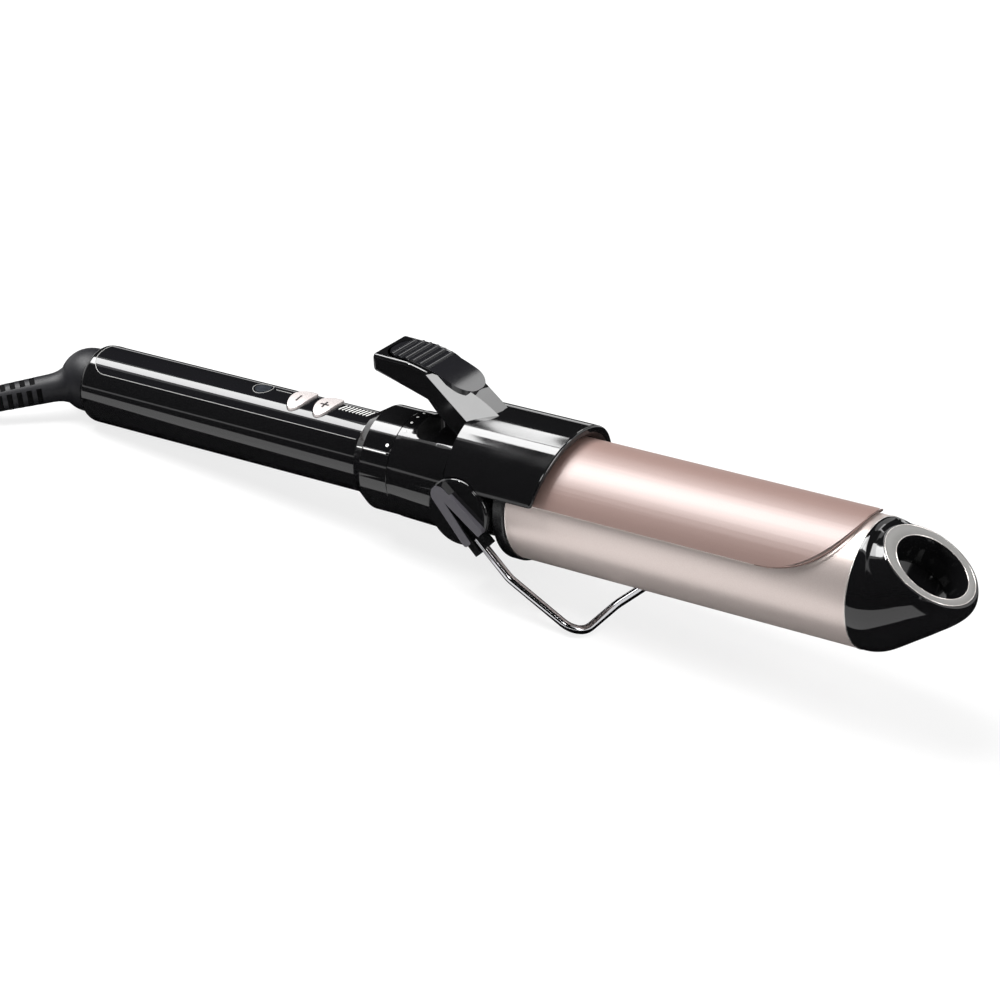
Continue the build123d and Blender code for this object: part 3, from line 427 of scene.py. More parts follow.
# Dark and glossy while the emitter behind it is off.
lens_clear = grained("lens_smoked_polycarbonate", "#2a2c30", 0.08, 1.5, 0.002, tones=("#24262a", "#32353a"),
                     IOR=1.585)

# Ribbed cloth with a soft sheen; its threads are drawn twice as far apart as they are.
# A wave texture repeats 20 / (2 pi) times in a unit, so its scale comes from that and the spacing.
THREAD_MM = 1.777
tie_fabric, tree, shader, place = start_material("tie_woven_nylon", "#1b1b1e", 0.8, Sheen_Weight=0.4)
weave = node(tree, "ShaderNodeTexWave", {
    "Vector": place, "Scale": 2 * math.pi / (20 * THREAD_MM * MM), "Distortion": 0.6}, bands_direction="Z")
lift = node(tree, "ShaderNodeBump", {"Height": weave.outputs["Fac"], "Distance": 0.15 * MM})
tree.links.new(lift.outputs["Normal"], shader.inputs["Normal"])
print("small finishes:", ring_grey.name, button_rose.name, white_ink.name, tie_fabric.name)

# %% [markdown]
# ## Inside the case
#
# The board, the heater and the leads only show when the model is opened, but they are real pieces and get
# real finishes: green solder mask, sintered ceramic, extruded aluminium, glass-silk sleeving.

# %% Finishes of the inner pieces
# Glossy green, in patches, as copper lies under some of it.
board_green = grained("board_solder_mask_green", "#1d5a35", 0.35, 1.2, 0.01, tones=("#184e2d", "#23653d"))

# Matt black with a fine grain.
component_black = grained("component_moulded_epoxy", "#161616", 0.55, 0.2, 0.01,
                          tones=("#121212", "#1e1e1e"))

# Milky and a little yellow.
emitter_white = grained("emitter_milky_epoxy", "#e6e3d6", 0.25, 0.8, 0.004, tones=("#ded9ca", "#eeece2"))

# A dull dark film.
track_carbon = grained("track_carbon_film", "#26262a", 0.5, 0.15, 0.004, tones=("#202024", "#303035"))

# Yellow metal with a soft shine.
wiper_brass = grained("wiper_rolled_brass", "#d9b56a", 0.3, 0.3, 0.002, tones=("#cfa95c", "#e0c17d"),
                      metallic=1.0)

# Pale metal, dulled by the die.
spreader_aluminium = grained("spreader_extruded_aluminium", "#c9cacc", 0.36, 0.5, 0.004,
                             tones=("#bcbdc0", "#d4d5d6"), metallic=1.0)

# Chalky off-white.
heater_ceramic = grained("heater_sintered_ceramic", "#dcd3c2", 0.6, 0.25, 0.012,
                         tones=("#d2c8b5", "#e6dfd1"))

# Pale woven fibres, drawn as a coarse fleck.
lead_sleeve = grained("lead_glass_silk_sleeve", "#d8d5cb", 0.6, 0.4, 0.03, tones=("#ccc8bc", "#e3e1d9"))
print("inner finishes:", board_green.name, heater_ceramic.name, lead_sleeve.name)

# %% [markdown]
# ## Finishes on the CAD solids
#
# The record gives each solid a material slot. The solid's mesh is left as it is, and the finish of that
# name takes the slot, so that a piece that shows and one that is hidden inside are dressed in the same
# way.

# %% Give each CAD node its finish
slot_material = {
    "gloss_black": gloss_black, "panel_black": panel_black, "satin_black": satin_black,
    "champagne_metal": champagne, "rose_metal": rose, "ring_grey": ring_grey, "button_rose": button_rose,
    "lens_clear": lens_clear, "pad_rubber": pad_rubber, "wire_chrome": chrome, "steel": zinc_steel,
    "spring_steel": spring_steel, "board_green": board_green, "component_black": component_black,
    "emitter_white": emitter_white, "track_carbon": track_carbon, "wiper_brass": wiper_brass,
    "spreader_aluminium": spreader_aluminium, "heater_ceramic": heater_ceramic, "lead_sleeve": lead_sleeve,
    "boot_rubber": boot_rubber, "cord_rubber": cord_rubber, "tie_fabric": tie_fabric,
    "plug_plastic": plug_plastic, "pin_brass": pin_nickel,
}
node_slot = {}
for name, cad in frame["nodes"].items():
    node_slot[name] = cad.data.materials[0].name.split(".")[0]
    cad.data.materials[0] = slot_material[node_slot[name]]
print(len(node_slot), "CAD nodes have their finish")

# %% [markdown]
# ## The cord
#
# A mains lead of 1.8 m, 6 mm thick. The photograph ends within its boot, so the lead itself is wound for
# storage into a tied coil of two layers, just outside the picture, with the plug laid on top. A tube along
# straight runs and arcs would look like bent wire, so the cord is one NURBS spline. Its control points are
# the route's corners, and a loop adds sixteen for each turn of the coil. A spline of order 3 runs inside
# its control points, so the turns' points lie a little further out.

# %% Cord route
cord_exit = Vector((-189.047, -34.1167, 5.52223))
boot_axis = Vector((-0.656171, -0.741667, -0.139173))
coil_centre = Vector((-241.28, -27.9602, 0))
STRAIGHT_OUT = 12.4
TURN_POINTS, COIL_POINTS, FIRST_ANGLE = 16, 120, -41.5
# A turn keeps its radius and height, and changes to the next one's in its last quarter.
CHANGE_FROM = 0.75
turn_radii = [43.2, 37.2, 31.2, 25.2, 25.2, 31.2, 37.2, 43.2, 43.2]
turn_heights = [3.8, 3.8, 3.8, 3.8, 9.8, 9.8, 9.8, 9.8, 9.8]
tail_route = [
    (2.7, 43.6, 10.6), (17.4, 40.5, 11.8), (31.5, 30.7, 13.6), (39.5, 18.5, 15.6), (42.1, 6.7, 16.4),
    (40.4, -5.2, 17.2), (34.7, -15.8, 18.1), (25.5, -23.8, 19.0), (14.2, -28.0, 19.65), (2.5, -28.0, 19.65),
]

route = [cord_exit, cord_exit + boot_axis * STRAIGHT_OUT]
for step in range(1, COIL_POINTS + 1):
    turn, part = divmod(step / TURN_POINTS, 1)
    share = min(max((part - CHANGE_FROM) / (1 - CHANGE_FROM), 0), 1)
    share = share * share * (3 - 2 * share)
    radius = turn_radii[int(turn)] * (1 - share) + turn_radii[int(turn) + 1] * share
    height = turn_heights[int(turn)] * (1 - share) + turn_heights[int(turn) + 1] * share
    angle = math.radians(FIRST_ANGLE - 360 * step / TURN_POINTS)
    reach = radius / math.cos(math.pi / TURN_POINTS)
    route.append(coil_centre + Vector((reach * math.cos(angle), reach * math.sin(angle), height)))
route += [coil_centre + Vector(point) for point in tail_route]
print("cord route has", len(route), "points")

# %% Cord
CORD_RADIUS = 3.0
cord_line = bpy.data.curves.new("mains_lead", "CURVE")
cord_line.dimensions = "3D"
spline = cord_line.splines.new("NURBS")
spline.points.add(len(route) - 1)
for control, point in zip(spline.points, route):
    control.co = (*(point * MM), 1)
spline.order_u = 3
spline.use_endpoint_u = True
cord_line.resolution_u = 4
cord_line.bevel_depth = CORD_RADIUS * MM
cord_line.bevel_resolution = 5
cord_line.use_fill_caps = True
cord_line.materials.append(cord_rubber)
mains_lead = put("mains_lead", cord_line)
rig.ride(mains_lead, "handle")
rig.replaces(mains_lead, "mains_cord", "cord_coil")
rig.slot(mains_lead, "cord_rubber")
print("cord spline is", round(spline.calc_length(), 3), "m long")

# %% [markdown]
# ## Rounded edges
#
# CAD solids have knife-sharp edges, and moulded or turned parts never do: the small rounds are what
# catches the light and draws the outline of a black part. Rounds in CAD would make every solid heavier,
# so they are made here. The CAD meshes stay as they are: a copy of each visible node is merged, its flat
# triangles are joined, its edges are bevelled by a real radius, and it stands for the node.

# %% Put a finished mesh in its place
def add_piece(name, mesh, body, material=None, slot=None, stands_for=()):
    """Links a finished mesh, lets it ride on its body, and says what it stands for."""
    if material is not None:
        mesh.materials.clear()
        mesh.materials.append(material)
    piece = put(name, mesh)
    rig.ride(piece, body)
    if slot:
        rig.slot(piece, slot)
    if stands_for:
        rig.replaces(piece, *stands_for)
    return piece


def baked(piece):
    """The mesh that an object's modifiers give, as a plain mesh; the object itself is removed."""
    graph = bpy.context.evaluated_depsgraph_get()
    mesh = bpy.data.meshes.new_from_object(piece.evaluated_get(graph))
    bpy.data.objects.remove(piece)
    return mesh


print("piece helpers ready")

# %% A rounded copy of a CAD node
# Vertices nearer than this, in metres, are one; faces that differ by less than this angle are one plane.
SAME_POINT = 2e-6
SAME_PLANE = math.radians(0.6)


def rounded_copy(name, edge_mm, sharp=32.0, cutter=None, share=None):
    """A merged copy of a CAD node with rounded edges, in the node's place; a cutter is taken away first.
    share gives an edge's part of the radius by its place on the iron, where that isn't all of it."""
    cad = frame["nodes"][name]
    mesh = cad.data.copy()
    shape = bmesh.new()
    shape.from_mesh(mesh)
    bmesh.ops.remove_doubles(shape, verts=shape.verts, dist=SAME_POINT)
    bmesh.ops.dissolve_limit(shape, angle_limit=SAME_PLANE, verts=shape.verts, edges=shape.edges)
    if share:
        weight = shape.edges.layers.float.new("bevel_weight_edge")
        for edge in shape.edges:
            if edge.calc_face_angle(0) > math.radians(sharp):
                edge[weight] = share(to_iron @ ((edge.verts[0].co + edge.verts[1].co) / 2))
    shape.to_mesh(mesh)
    shape.free()
    mesh.shade_smooth()
    mesh.set_sharp_from_angle(angle=math.radians(sharp))
    piece = put(name + "_raw", mesh)
    if cutter:
        cut = piece.modifiers.new("cut", "BOOLEAN")
        cut.object = cutter
    bevel = piece.modifiers.new("edges", "BEVEL")
    bevel.width = edge_mm * MM
    bevel.segments = 3
    bevel.limit_method = "WEIGHT" if share else "ANGLE"
    bevel.angle_limit = math.radians(sharp)
    bevel.use_clamp_overlap = share is None
    normals = piece.modifiers.new("normals", "WEIGHTED_NORMAL")
    normals.keep_sharp = True
    slot = node_slot[name]
    return add_piece(name + "_rounded", baked(piece), cad["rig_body"], slot_material[slot], slot, [name])


print("rounding helper ready")

# %% Round the plain pieces
edge_radii = {
    "handle_upper": 0.12, "handle_lower": 0.12, "control_panel": 0.15, "temperature_dial": 0.35,
    "barrel_collar": 0.5, "barrel_tube": 0.2, "thumb_pad": 0.25, "clamp_plate": 0.18,
    "minus_button": 0.4, "plus_button": 0.4, "plug_body": 0.5,
}
for name, edge in edge_radii.items():
    piece = rounded_copy(name, edge)
    print(piece.name, len(piece.data.polygons), "faces")

# %% [markdown]
# ## The clamp's lever
#
# The thumb lever and the half shell behind the plate are one moulding. The lever's end and the shell's
# front rim are well rounded, and the root between them has crisp edges. One radius for all would blur the
# root, so each edge carries its own share of the radius. A bevel also bends the shading of the large
# faces beside it: the shell gets the normals of a true cylinder back, and the lever's flanks those of a
# plane.

# %% Lever with its own share of radius
SHELL_RADIUS, SHELL_Z = 23.0, 1.4
LEVER_END_X, SHELL_RIM_X = 136.4, 176
OUTER_RIM, INNER_RIM = 0.95, 0.3


def lever_share(point):
    """Full at the lever's end, none at its root, and less on the inside of the shell's front rim."""
    if point.x < LEVER_END_X:
        return 1.0
    if point.x < SHELL_RIM_X:
        return 0.0
    outside = math.hypot(point.y, point.z - SHELL_Z) > SHELL_RADIUS - 0.3
    return OUTER_RIM if outside else INNER_RIM


lever = rounded_copy("clamp_lever", 0.9, sharp=14.0, share=lever_share)
print(lever.name, len(lever.data.polygons), "faces")

# %% True normals on the shell and the flanks
FLANK_AREA = 50 * MM * MM
normals = [Vector(corner.vector) for corner in lever.data.corner_normals]
round_faces, flat_faces = 0, 0
for face in lever.data.polygons:
    spokes = [to_iron @ lever.data.vertices[i].co - Vector((0, 0, SHELL_Z)) for i in face.vertices]
    if all(abs(math.hypot(spoke.y, spoke.z) - SHELL_RADIUS) < 0.05 for spoke in spokes):
        round_faces += 1
        for loop, spoke in zip(face.loop_indices, spokes):
            normals[loop] = (iron.to_3x3() @ Vector((0, spoke.y, spoke.z))).normalized()
    elif 0.6 < abs(face.normal.y) < 0.85 and face.normal.z > 0.4 and face.area > FLANK_AREA:
        flat_faces += 1
        for loop in face.loop_indices:
            normals[loop] = face.normal.copy()
lever.data.normals_split_custom_set(normals)
print("shell normals on", round_faces, "faces, flat flanks on", flat_faces)

# %% [markdown]
# ## Skins
#
# A few forms are smoother than the CAD solids: the tip, the cord's boot, the tongues and rims of the
# hubs. Sculpting would be hard to repeat, so each is a skin over rings of points, like planks over the
# ribs of a boat, with its sizes in numbers. The tool that cuts the neck's well is such a skin too.

# %% A skin over rings of points
def skin(name, rings, place=iron, closed=False, sharp=40.0):
    """Mesh over rings of points in mm; its ends are capped unless the last ring joins the first."""
    count, total = len(rings[0]), len(rings)
    mesh = bpy.data.meshes.new(name)
    points = [place @ Vector(point) for ring in rings for point in ring]
    faces = []
    for i in range(total if closed else total - 1):
        for j in range(count):
            after, above = (j + 1) % count, (i + 1) % total
            faces.append((i * count + j, i * count + after, above * count + after, above * count + j))
    if not closed:
        faces += [range(count), range((total - 1) * count, total * count)]
    mesh.from_pydata(points, [], faces)
    shape = bmesh.new()
    shape.from_mesh(mesh)
    bmesh.ops.recalc_face_normals(shape, faces=shape.faces)
    shape.to_mesh(mesh)
    shape.free()
    mesh.shade_smooth()
    mesh.set_sharp_from_angle(angle=math.radians(sharp))
    return mesh


def circle(count):
    """Cosines and sines of evenly spaced turns."""
    return [(math.cos(2 * math.pi * i / count), math.sin(2 * math.pi * i / count)) for i in range(count)]


quarter = circle(32)[:9]
print("a rounded corner has", len(quarter), "points")

# %% [markdown]
# ## The well in the neck
#
# When the clamp opens, the lever's end dips into a well in the neck. Its corners are round on the real
# moulding. The neck's own edges can be bevelled, but not by that much, so a rounded pocket is first cut
# out of the neck's copy.

# %% Neck with its well
WELL_FRONT, WELL_HALF_WIDTH = 148, 9.4
WELL_FLOOR, WELL_TOP = 12.8, 24
CORNER_X, CORNER_Y, CORNER_RADIUS = 134.2, 5.7, 3.7
corner = [(CORNER_X - CORNER_RADIUS * c, CORNER_Y + CORNER_RADIUS * s) for c, s in quarter]
plan = [(x, -y) for x, y in reversed(corner)] + corner
plan = [(WELL_FRONT, -WELL_HALF_WIDTH)] + plan + [(WELL_FRONT, WELL_HALF_WIDTH)]
levels = [[(x, y, z) for x, y in plan] for z in (WELL_FLOOR, WELL_TOP)]
cutter = put("well_cutter", skin("well_cutter", levels))
neck = rounded_copy("neck_housing", 0.4, cutter=cutter)
bpy.data.objects.remove(cutter)
print(neck.name, len(neck.data.polygons), "faces")

# %% [markdown]
# ## The tip
#
# The tip is a black cap with a slanted face, a hollow and a grey painted ring around the mouth. Its
# sections are ovals that fan out from a line at the top: as wide as the barrel at first, then narrower
# and leaning further, to the slanted face. They are drawn at eleven angles and smoothed in between,
# because the gloss would show every unevenness.

# %% Ovals of the tip
FAN_X, FAN_Z, FACE = 283.5, 19.4, 57


def tip_oval(angle, reach, half_width, depth=0.0):
    """Oval in a plane that leans about the line at the top of the tip; depth sinks it below the plane."""
    lean_sin, lean_cos = math.sin(math.radians(angle)), math.cos(math.radians(angle))
    ring = []
    for c, s in circle(96):
        down = (reach[0] + reach[1]) / 2 + c * (reach[1] - reach[0]) / 2
        ring.append((FAN_X + down * lean_sin - depth * lean_cos, s * half_width,
                     FAN_Z - down * lean_cos - depth * lean_sin))
    return ring


def face_oval(reach, half_width, inset, depth):
    """Oval in the slanted face, drawn in by inset all round."""
    return tip_oval(FACE, (reach[0] + inset, reach[1] - inset), half_width - inset, depth)


print("the tip's ovals lean up to", FACE, "degrees")

# %% Sections of the tip
section_angles = (0, 3, 8, 16, 22, 28, 36, 44, 51, 55, FACE)
section_tops = (0.4, 0.4, 0.44, 0.6, 0.85, 1.1, 1.5, 1.9, 2.4, 2.8, 3.2)
section_bottoms = (38.4, 38.5, 38.0, 36.2, 35.2, 34.7, 34.5, 35.0, 35.4, 34.8, 33.6)
section_widths = (19.0, 18.97, 18.8, 18.3, 17.75, 17.15, 16.35, 15.55, 14.75, 14.25, 13.9)
angles = np.linspace(0, FACE, FACE + 1)


def smoothed(values, width):
    """A section's values at every degree, smoothed over width degrees to each side."""
    drawn = np.interp(angles, section_angles, values)
    before = 2 * drawn[0] - drawn[width:0:-1]
    after = 2 * drawn[-1] - drawn[-2:-2 - width:-1]
    weights = np.hanning(2 * width + 3)[1:-1]
    return np.convolve(np.concatenate((before, drawn, after)), weights / weights.sum(), "valid")


sections = list(zip(angles, smoothed(section_tops, 10), smoothed(section_bottoms, 4),
                    smoothed(section_widths, 10)))
print("tip has", len(sections), "sections")

# %% Cap and ring
# An oval's reach, from and to, is measured down from the fan's line; then comes its half width.
lip = ((3.4, 33.0), 13.7)
ring_outline = ((3.6, 32.7), 13.45)
hole = ((7.7, 30.2), 10.8)
IN_BARREL = 0.7
cap_rings = [tip_oval(0, (section_tops[0], section_bottoms[0]), section_widths[0], IN_BARREL)]
cap_rings += [tip_oval(angle, (top, bottom), half_width) for angle, top, bottom, half_width in sections]
cap_rings.append(tip_oval(FACE, *lip))
cap_rings += [face_oval(*hole, inset, depth) for inset, depth in ((0.0, 0.0), (0.15, 0.3), (0.8, 10.0))]
cap_mesh = skin("tip_cap_form", cap_rings)
add_piece("tip_cap_form", cap_mesh, "handle", gloss_black, "gloss_black", ["tip_cap"])

# The ring stands a sixth of a millimetre proud of the face, with a small chamfer on both edges.
outer = [face_oval(*ring_outline, inset, depth)
         for inset, depth in ((0.0, 0.3), (0.0, -0.06), (0.2, -0.16))]
inner = [face_oval(*hole, inset, depth)
         for inset, depth in ((-0.3, -0.16), (-0.12, -0.06), (-0.12, 0.3))]
ring_mesh = skin("tip_ring_form", outer + inner, closed=True)
add_piece("tip_ring_form", ring_mesh, "handle", ring_grey, "ring_grey", ["tip_ring"])
print("cap has", len(cap_rings), "rings of points")

# %% [markdown]
# ## Rows and lines
#
# Slots, dots and ticks repeat, and prints and wires follow paths. They could be copied by hand, but
# Geometry Nodes keep their sizes as inputs. Two trees set a small solid, a bar or a dot, on each point of
# a mesh, and turn it by the point's own attribute. A third one draws a round line along edges. All end as
# plain meshes.

# %% Start and end a tree
def start_tree(name, sockets):
    """A Geometry Nodes tree with its input sockets; returns it and its group input's outputs."""
    tree = bpy.data.node_groups.new(name, "GeometryNodeTree")
    tree.interface.new_socket("Geometry", in_out="INPUT", socket_type="NodeSocketGeometry")
    for label, kind in sockets.items():
        tree.interface.new_socket(label, in_out="INPUT", socket_type=kind)
    tree.interface.new_socket("Geometry", in_out="OUTPUT", socket_type="NodeSocketGeometry")
    return tree, node(tree, "NodeGroupInput").outputs


def end_tree(tree, geometry, finish):
    """Realizes the instances, sets the material and closes the tree."""
    real = node(tree, "GeometryNodeRealizeInstances", {"Geometry": geometry})
    painted = node(tree, "GeometryNodeSetMaterial", {"Geometry": real.outputs[0], "Material": finish})
    node(tree, "NodeGroupOutput", {"Geometry": painted.outputs[0]})


print("tree helpers ready")

# %% Bars, dots and lines
def solids_on_points(name, kind, sizes, **fixed):
    """Tree that sets one solid on each point, turned by the point's attribute; sizes are its inputs."""
    tree, given = start_tree(name, {**sizes, "Finish": "NodeSocketMaterial"})
    solid = node(tree, kind, {**fixed, **{size: given[size] for size in sizes}})
    turn = node(tree, "GeometryNodeInputNamedAttribute", {"Name": "turn"}, data_type="FLOAT_VECTOR")
    row = node(tree, "GeometryNodeInstanceOnPoints", {
        "Points": given["Geometry"], "Instance": solid.outputs["Mesh"],
        "Rotation": turn.outputs["Attribute"]})
    end_tree(tree, row.outputs[0], given["Finish"])
    return tree


bars_tree = solids_on_points("bars_on_points", "GeometryNodeMeshCube", {"Size": "NodeSocketVector"})
dots_tree = solids_on_points("dots_on_points", "GeometryNodeMeshCylinder", {
    "Radius": "NodeSocketFloat", "Depth": "NodeSocketFloat"}, Vertices=20)

line_tree, given = start_tree("line_along_edges", {
    "Radius": "NodeSocketFloat", "Finish": "NodeSocketMaterial"})
path = node(line_tree, "GeometryNodeMeshToCurve", {"Mesh": given["Geometry"]})
outline = node(line_tree, "GeometryNodeCurvePrimitiveCircle", {"Resolution": 12, "Radius": given["Radius"]})
line = node(line_tree, "GeometryNodeCurveToMesh", {
    "Curve": path.outputs[0], "Profile Curve": outline.outputs[0], "Fill Caps": True})
soft = node(line_tree, "GeometryNodeSetShadeSmooth", {"Geometry": line.outputs[0]})
end_tree(line_tree, soft.outputs[0], given["Finish"])
print("trees:", bars_tree.name, dots_tree.name, line_tree.name)

# %% Rows and lines as pieces
def grown(name, tree, base, values):
    """Plain mesh that a tree makes of a base mesh."""
    piece = put(name, base)
    nodes = piece.modifiers.new("nodes", "NODES")
    nodes.node_group = tree
    for item in tree.interface.items_tree:
        if item.name in values:
            nodes[item.identifier] = values[item.name]
    return baked(piece)


def row_mesh(name, tree, seats, values):
    """Bars or dots at the seats."""
    base = bpy.data.meshes.new(name)
    base.from_pydata([place.translation for place in seats], [], [])
    turns = base.attributes.new("turn", "FLOAT_VECTOR", "POINT")
    turns.data.foreach_set("vector", [angle for place in seats for angle in place.to_euler()])
    return grown(name, tree, base, values)


def add_row(name, body, tree, seats, values):
    """Bars or dots at the seats, as a piece."""
    return add_piece(name, row_mesh(name, tree, seats, values), body)


def add_line(name, body, points, radius_mm, finish, closed=False, **says):
    """Round line through points in the iron's millimetres, as a piece."""
    base = bpy.data.meshes.new(name)
    count = len(points)
    links = [(i, (i + 1) % count) for i in range(count if closed else count - 1)]
    base.from_pydata([iron @ Vector(point) for point in points], links, [])
    mesh = grown(name, line_tree, base, {"Radius": radius_mm * MM, "Finish": finish})
    return add_piece(name, mesh, body, **says)


print("row and line helpers ready")

# %% A seat on a round part
def seat(x, radius, turn, spin=0.0):
    """Frame on a round part of the iron: x along its axis, z outwards, spun within the surface."""
    outward = (iron.to_3x3() @ around(0, 1, turn)).normalized()
    seat_axes = Matrix((iron_axis, outward.cross(iron_axis), outward)).transposed().to_4x4()
    spun = Matrix.Rotation(math.radians(spin), 4, "Z")
    return Matrix.Translation(iron @ around(x, radius, turn)) @ seat_axes @ spun


top = seat(60, 12, 0).col[2]
print("a seat on top of the handle faces", [round(value, 3) for value in top[:3]])

# %% [markdown]
# ## The cord's boot
#
# A ball that turns in the rear of the handle, and a sleeve with rows of slots that lets the cord bend
# gently. The body is round, so it is a skin over circles. Bump alone would leave its outline smooth, so
# the slots are cut, and their walls keep the material of the bars that cut them: a painted shade, darker
# than the boot's rubber.

# %% Boot
BALL_RADIUS = 10.4
ball_centre = Vector((-158.863, 0, 11.9242))
boot_turn = boot_axis.to_track_quat("Z", "Y").to_matrix().to_4x4()
boot_place = Matrix.Scale(MM, 4) @ Matrix.Translation(ball_centre) @ boot_turn
ball_angles = [math.radians(angle) for angle in range(-84, 57, 4)]
profile = [(BALL_RADIUS * math.sin(angle), BALL_RADIUS * math.cos(angle)) for angle in ball_angles]
profile += [(9.4, 5.45), (10.4, 5.05), (11.8, 4.75), (13.6, 4.6), (17.0, 4.55), (26.0, 4.35), (36.0, 4.1),
            (45.4, 3.9), (45.9, 3.7), (46.0, 3.2)]
boot_rings = [[(radius * c, radius * s, height) for c, s in circle(48)] for height, radius in profile]
boot_mesh = skin("swivel_boot_form", boot_rings, place=boot_place)
boot_mesh.materials.append(boot_rubber)
print("boot is", round(profile[-1][0] - profile[0][0], 1), "mm long")

# %% Slots of the boot
SLOT_SIDES, SLOTS, SLOT_PITCH = 4, 8, 3.2
FIRST_SLOT, SLOT_REACH = 17.6, 4.6
slot_size = Vector((2.6, 5.0, 1.7)) * MM
slot_seats = []
for side in range(SLOT_SIDES):
    facing = boot_place @ Matrix.Rotation(math.radians(90 * side), 4, "Z")
    for slot in range(SLOTS):
        height = FIRST_SLOT + SLOT_PITCH * (slot + side % 2 / 2)
        place = facing @ Matrix.Translation((SLOT_REACH, 0, height))
        place.normalize()
        slot_seats.append(place)
# The bars carry the painted shade that the slots' walls keep.
slots = row_mesh("slots", bars_tree, slot_seats, {"Size": slot_size, "Finish": slot_shade_paint})
slot_cutter = put("slot_cutter", slots)
boot_raw = put("boot_raw", boot_mesh)
cut = boot_raw.modifiers.new("slots", "BOOLEAN")
cut.object = slot_cutter
cut.material_mode = "TRANSFER"
add_piece("swivel_boot_form", baked(boot_raw), "boot", None, "boot_rubber", ["swivel_boot"])
bpy.data.objects.remove(slot_cutter)
print("boot has", len(slot_seats), "slots")

# %% [markdown]
# ## Stand
#
# The wire is bent from one piece: two legs and a foot that is arched a little, so that only its corners
# touch the floor. A bending tool leaves a true radius at each corner, so the path is worked out with
# those radii and a round line follows it. Each hub is a disc with a rounded rim and a flat grained
# tongue, which has a notch that widens towards the wire. The tongue and the rim are skins on the hub's
# bevelled copy.

# %% Wire
def bent(corners, radii, steps=8):
    """Points of a path with rounded corners."""
    points = [Vector(corners[0])]
    for i, radius in enumerate(radii, 1):
        before, corner, after = (Vector(corners[k]) for k in (i - 1, i, i + 1))
        inward, outward = (before - corner).normalized(), (after - corner).normalized()
        half = inward.angle(outward) / 2
        middle = corner + (inward + outward).normalized() * (radius / math.sin(half))
        start = corner + inward * (radius / math.tan(half)) - middle
        end = corner + outward * (radius / math.tan(half)) - middle
        points += [middle + start.slerp(end, k / steps).normalized() * radius for k in range(steps + 1)]
    return points + [Vector(corners[-1])]


PIVOT_X, STAND_SIDE, WIRE_RADIUS = 155.2, 21.6, 1.35
ARM_ANGLE, FOOT_ARCH = math.radians(-44), 0.981
arm = Vector((math.cos(ARM_ANGLE), 0, math.sin(ARM_ANGLE)))
root, knee, foot = arm * 9.6, arm * 24.7, Vector((41.6, 0, -29.9))
corners = []
for side, places in ((-1, (root, knee, foot)), (1, (foot, knee, root))):
    corners += [Vector((PIVOT_X, side * STAND_SIDE, 0)) + place for place in places]
corners.insert(3, Vector((PIVOT_X, 0, 0)) + foot * FOOT_ARCH)
wire_path = bent(corners, [9.0, 6.0, 40.0, 6.0, 9.0])
add_line("stand_wire_form", "stand", wire_path, WIRE_RADIUS, chrome, slot="wire_chrome",
         stands_for=["stand_wire"])
print("wire has", len(wire_path), "points")

# %% Hubs with their tongues and rims
TONGUE_FACE = 23.45
END_X, END_RADIUS = -7.2, 2.9
NOTCH_X = -4.6
RIM_RADIUS, RIM_Y, RIM_ROUND = 9.5, 20.8, 1.1
across = Vector((-math.sin(ARM_ANGLE), 0, math.cos(ARM_ANGLE)))
# Half of the tongue's outline, in millimetres along and across the arm.
half = [(END_X - END_RADIUS * s, END_RADIUS * c) for c, s in reversed(quarter)]
half += [(8.2, 4.7), (9.1, 4.6), (9.6, 4.1), (9.7, 2.2), (9.4, 1.9)]
outline = half + [(NOTCH_X, 0)] + [(along, -aside) for along, aside in reversed(half[1:])]
rim_section = [(RIM_RADIUS + RIM_ROUND * c, RIM_Y + RIM_ROUND * s) for c, s in quarter]
rim_section += [(8.6, STAND_SIDE), (8.6, RIM_Y)]
for name, side in (("stand_hub_near", -1), ("stand_hub_far", 1)):
    rounded_copy(name, 0.35)
    levels = []
    for out in (STAND_SIDE, TONGUE_FACE):
        middle = Vector((PIVOT_X, side * out, 0))
        levels.append([middle + arm * along + across * aside for along, aside in outline])
    # The tongue's grey is painted sheen over a real grain.
    add_piece(name + "_tongue", skin(name + "_tongue", levels), "stand", tongue_sheen_and_grain)
    rim = [[(PIVOT_X + radius * c, side * out, radius * s) for radius, out in rim_section]
           for c, s in circle(64)]
    add_piece(name + "_rim", skin(name + "_rim", rim, closed=True), "stand", gloss_black)
print("a tongue's outline has", len(outline), "points")

# %% [markdown]
# ## Printed marks
#
# The panel's edge line, the ring round the indicator, the scale and the signs on the buttons are
# pad-printed. A drawing in the material would need a flat picture for each, so the ink is thin geometry.
# It is about a twentieth of a millimetre thick on the real part; here it stands a tenth proud, so that it
# never sinks in.

# %% Marks on the handle
PANEL_RADIUS, PANEL_FRONT, PANEL_HALF_WIDTH = 12.6, 109.6, 9.44
BEND_X, BEND_Y, BEND_RADIUS = 9, 3.44, 6
LENS_X, LENS_RING = 67, 3.3
LINE_STEPS = 12


def on_panel(x, y):
    """Point on the panel's round top."""
    return x, y, math.sqrt(PANEL_RADIUS ** 2 - y * y)


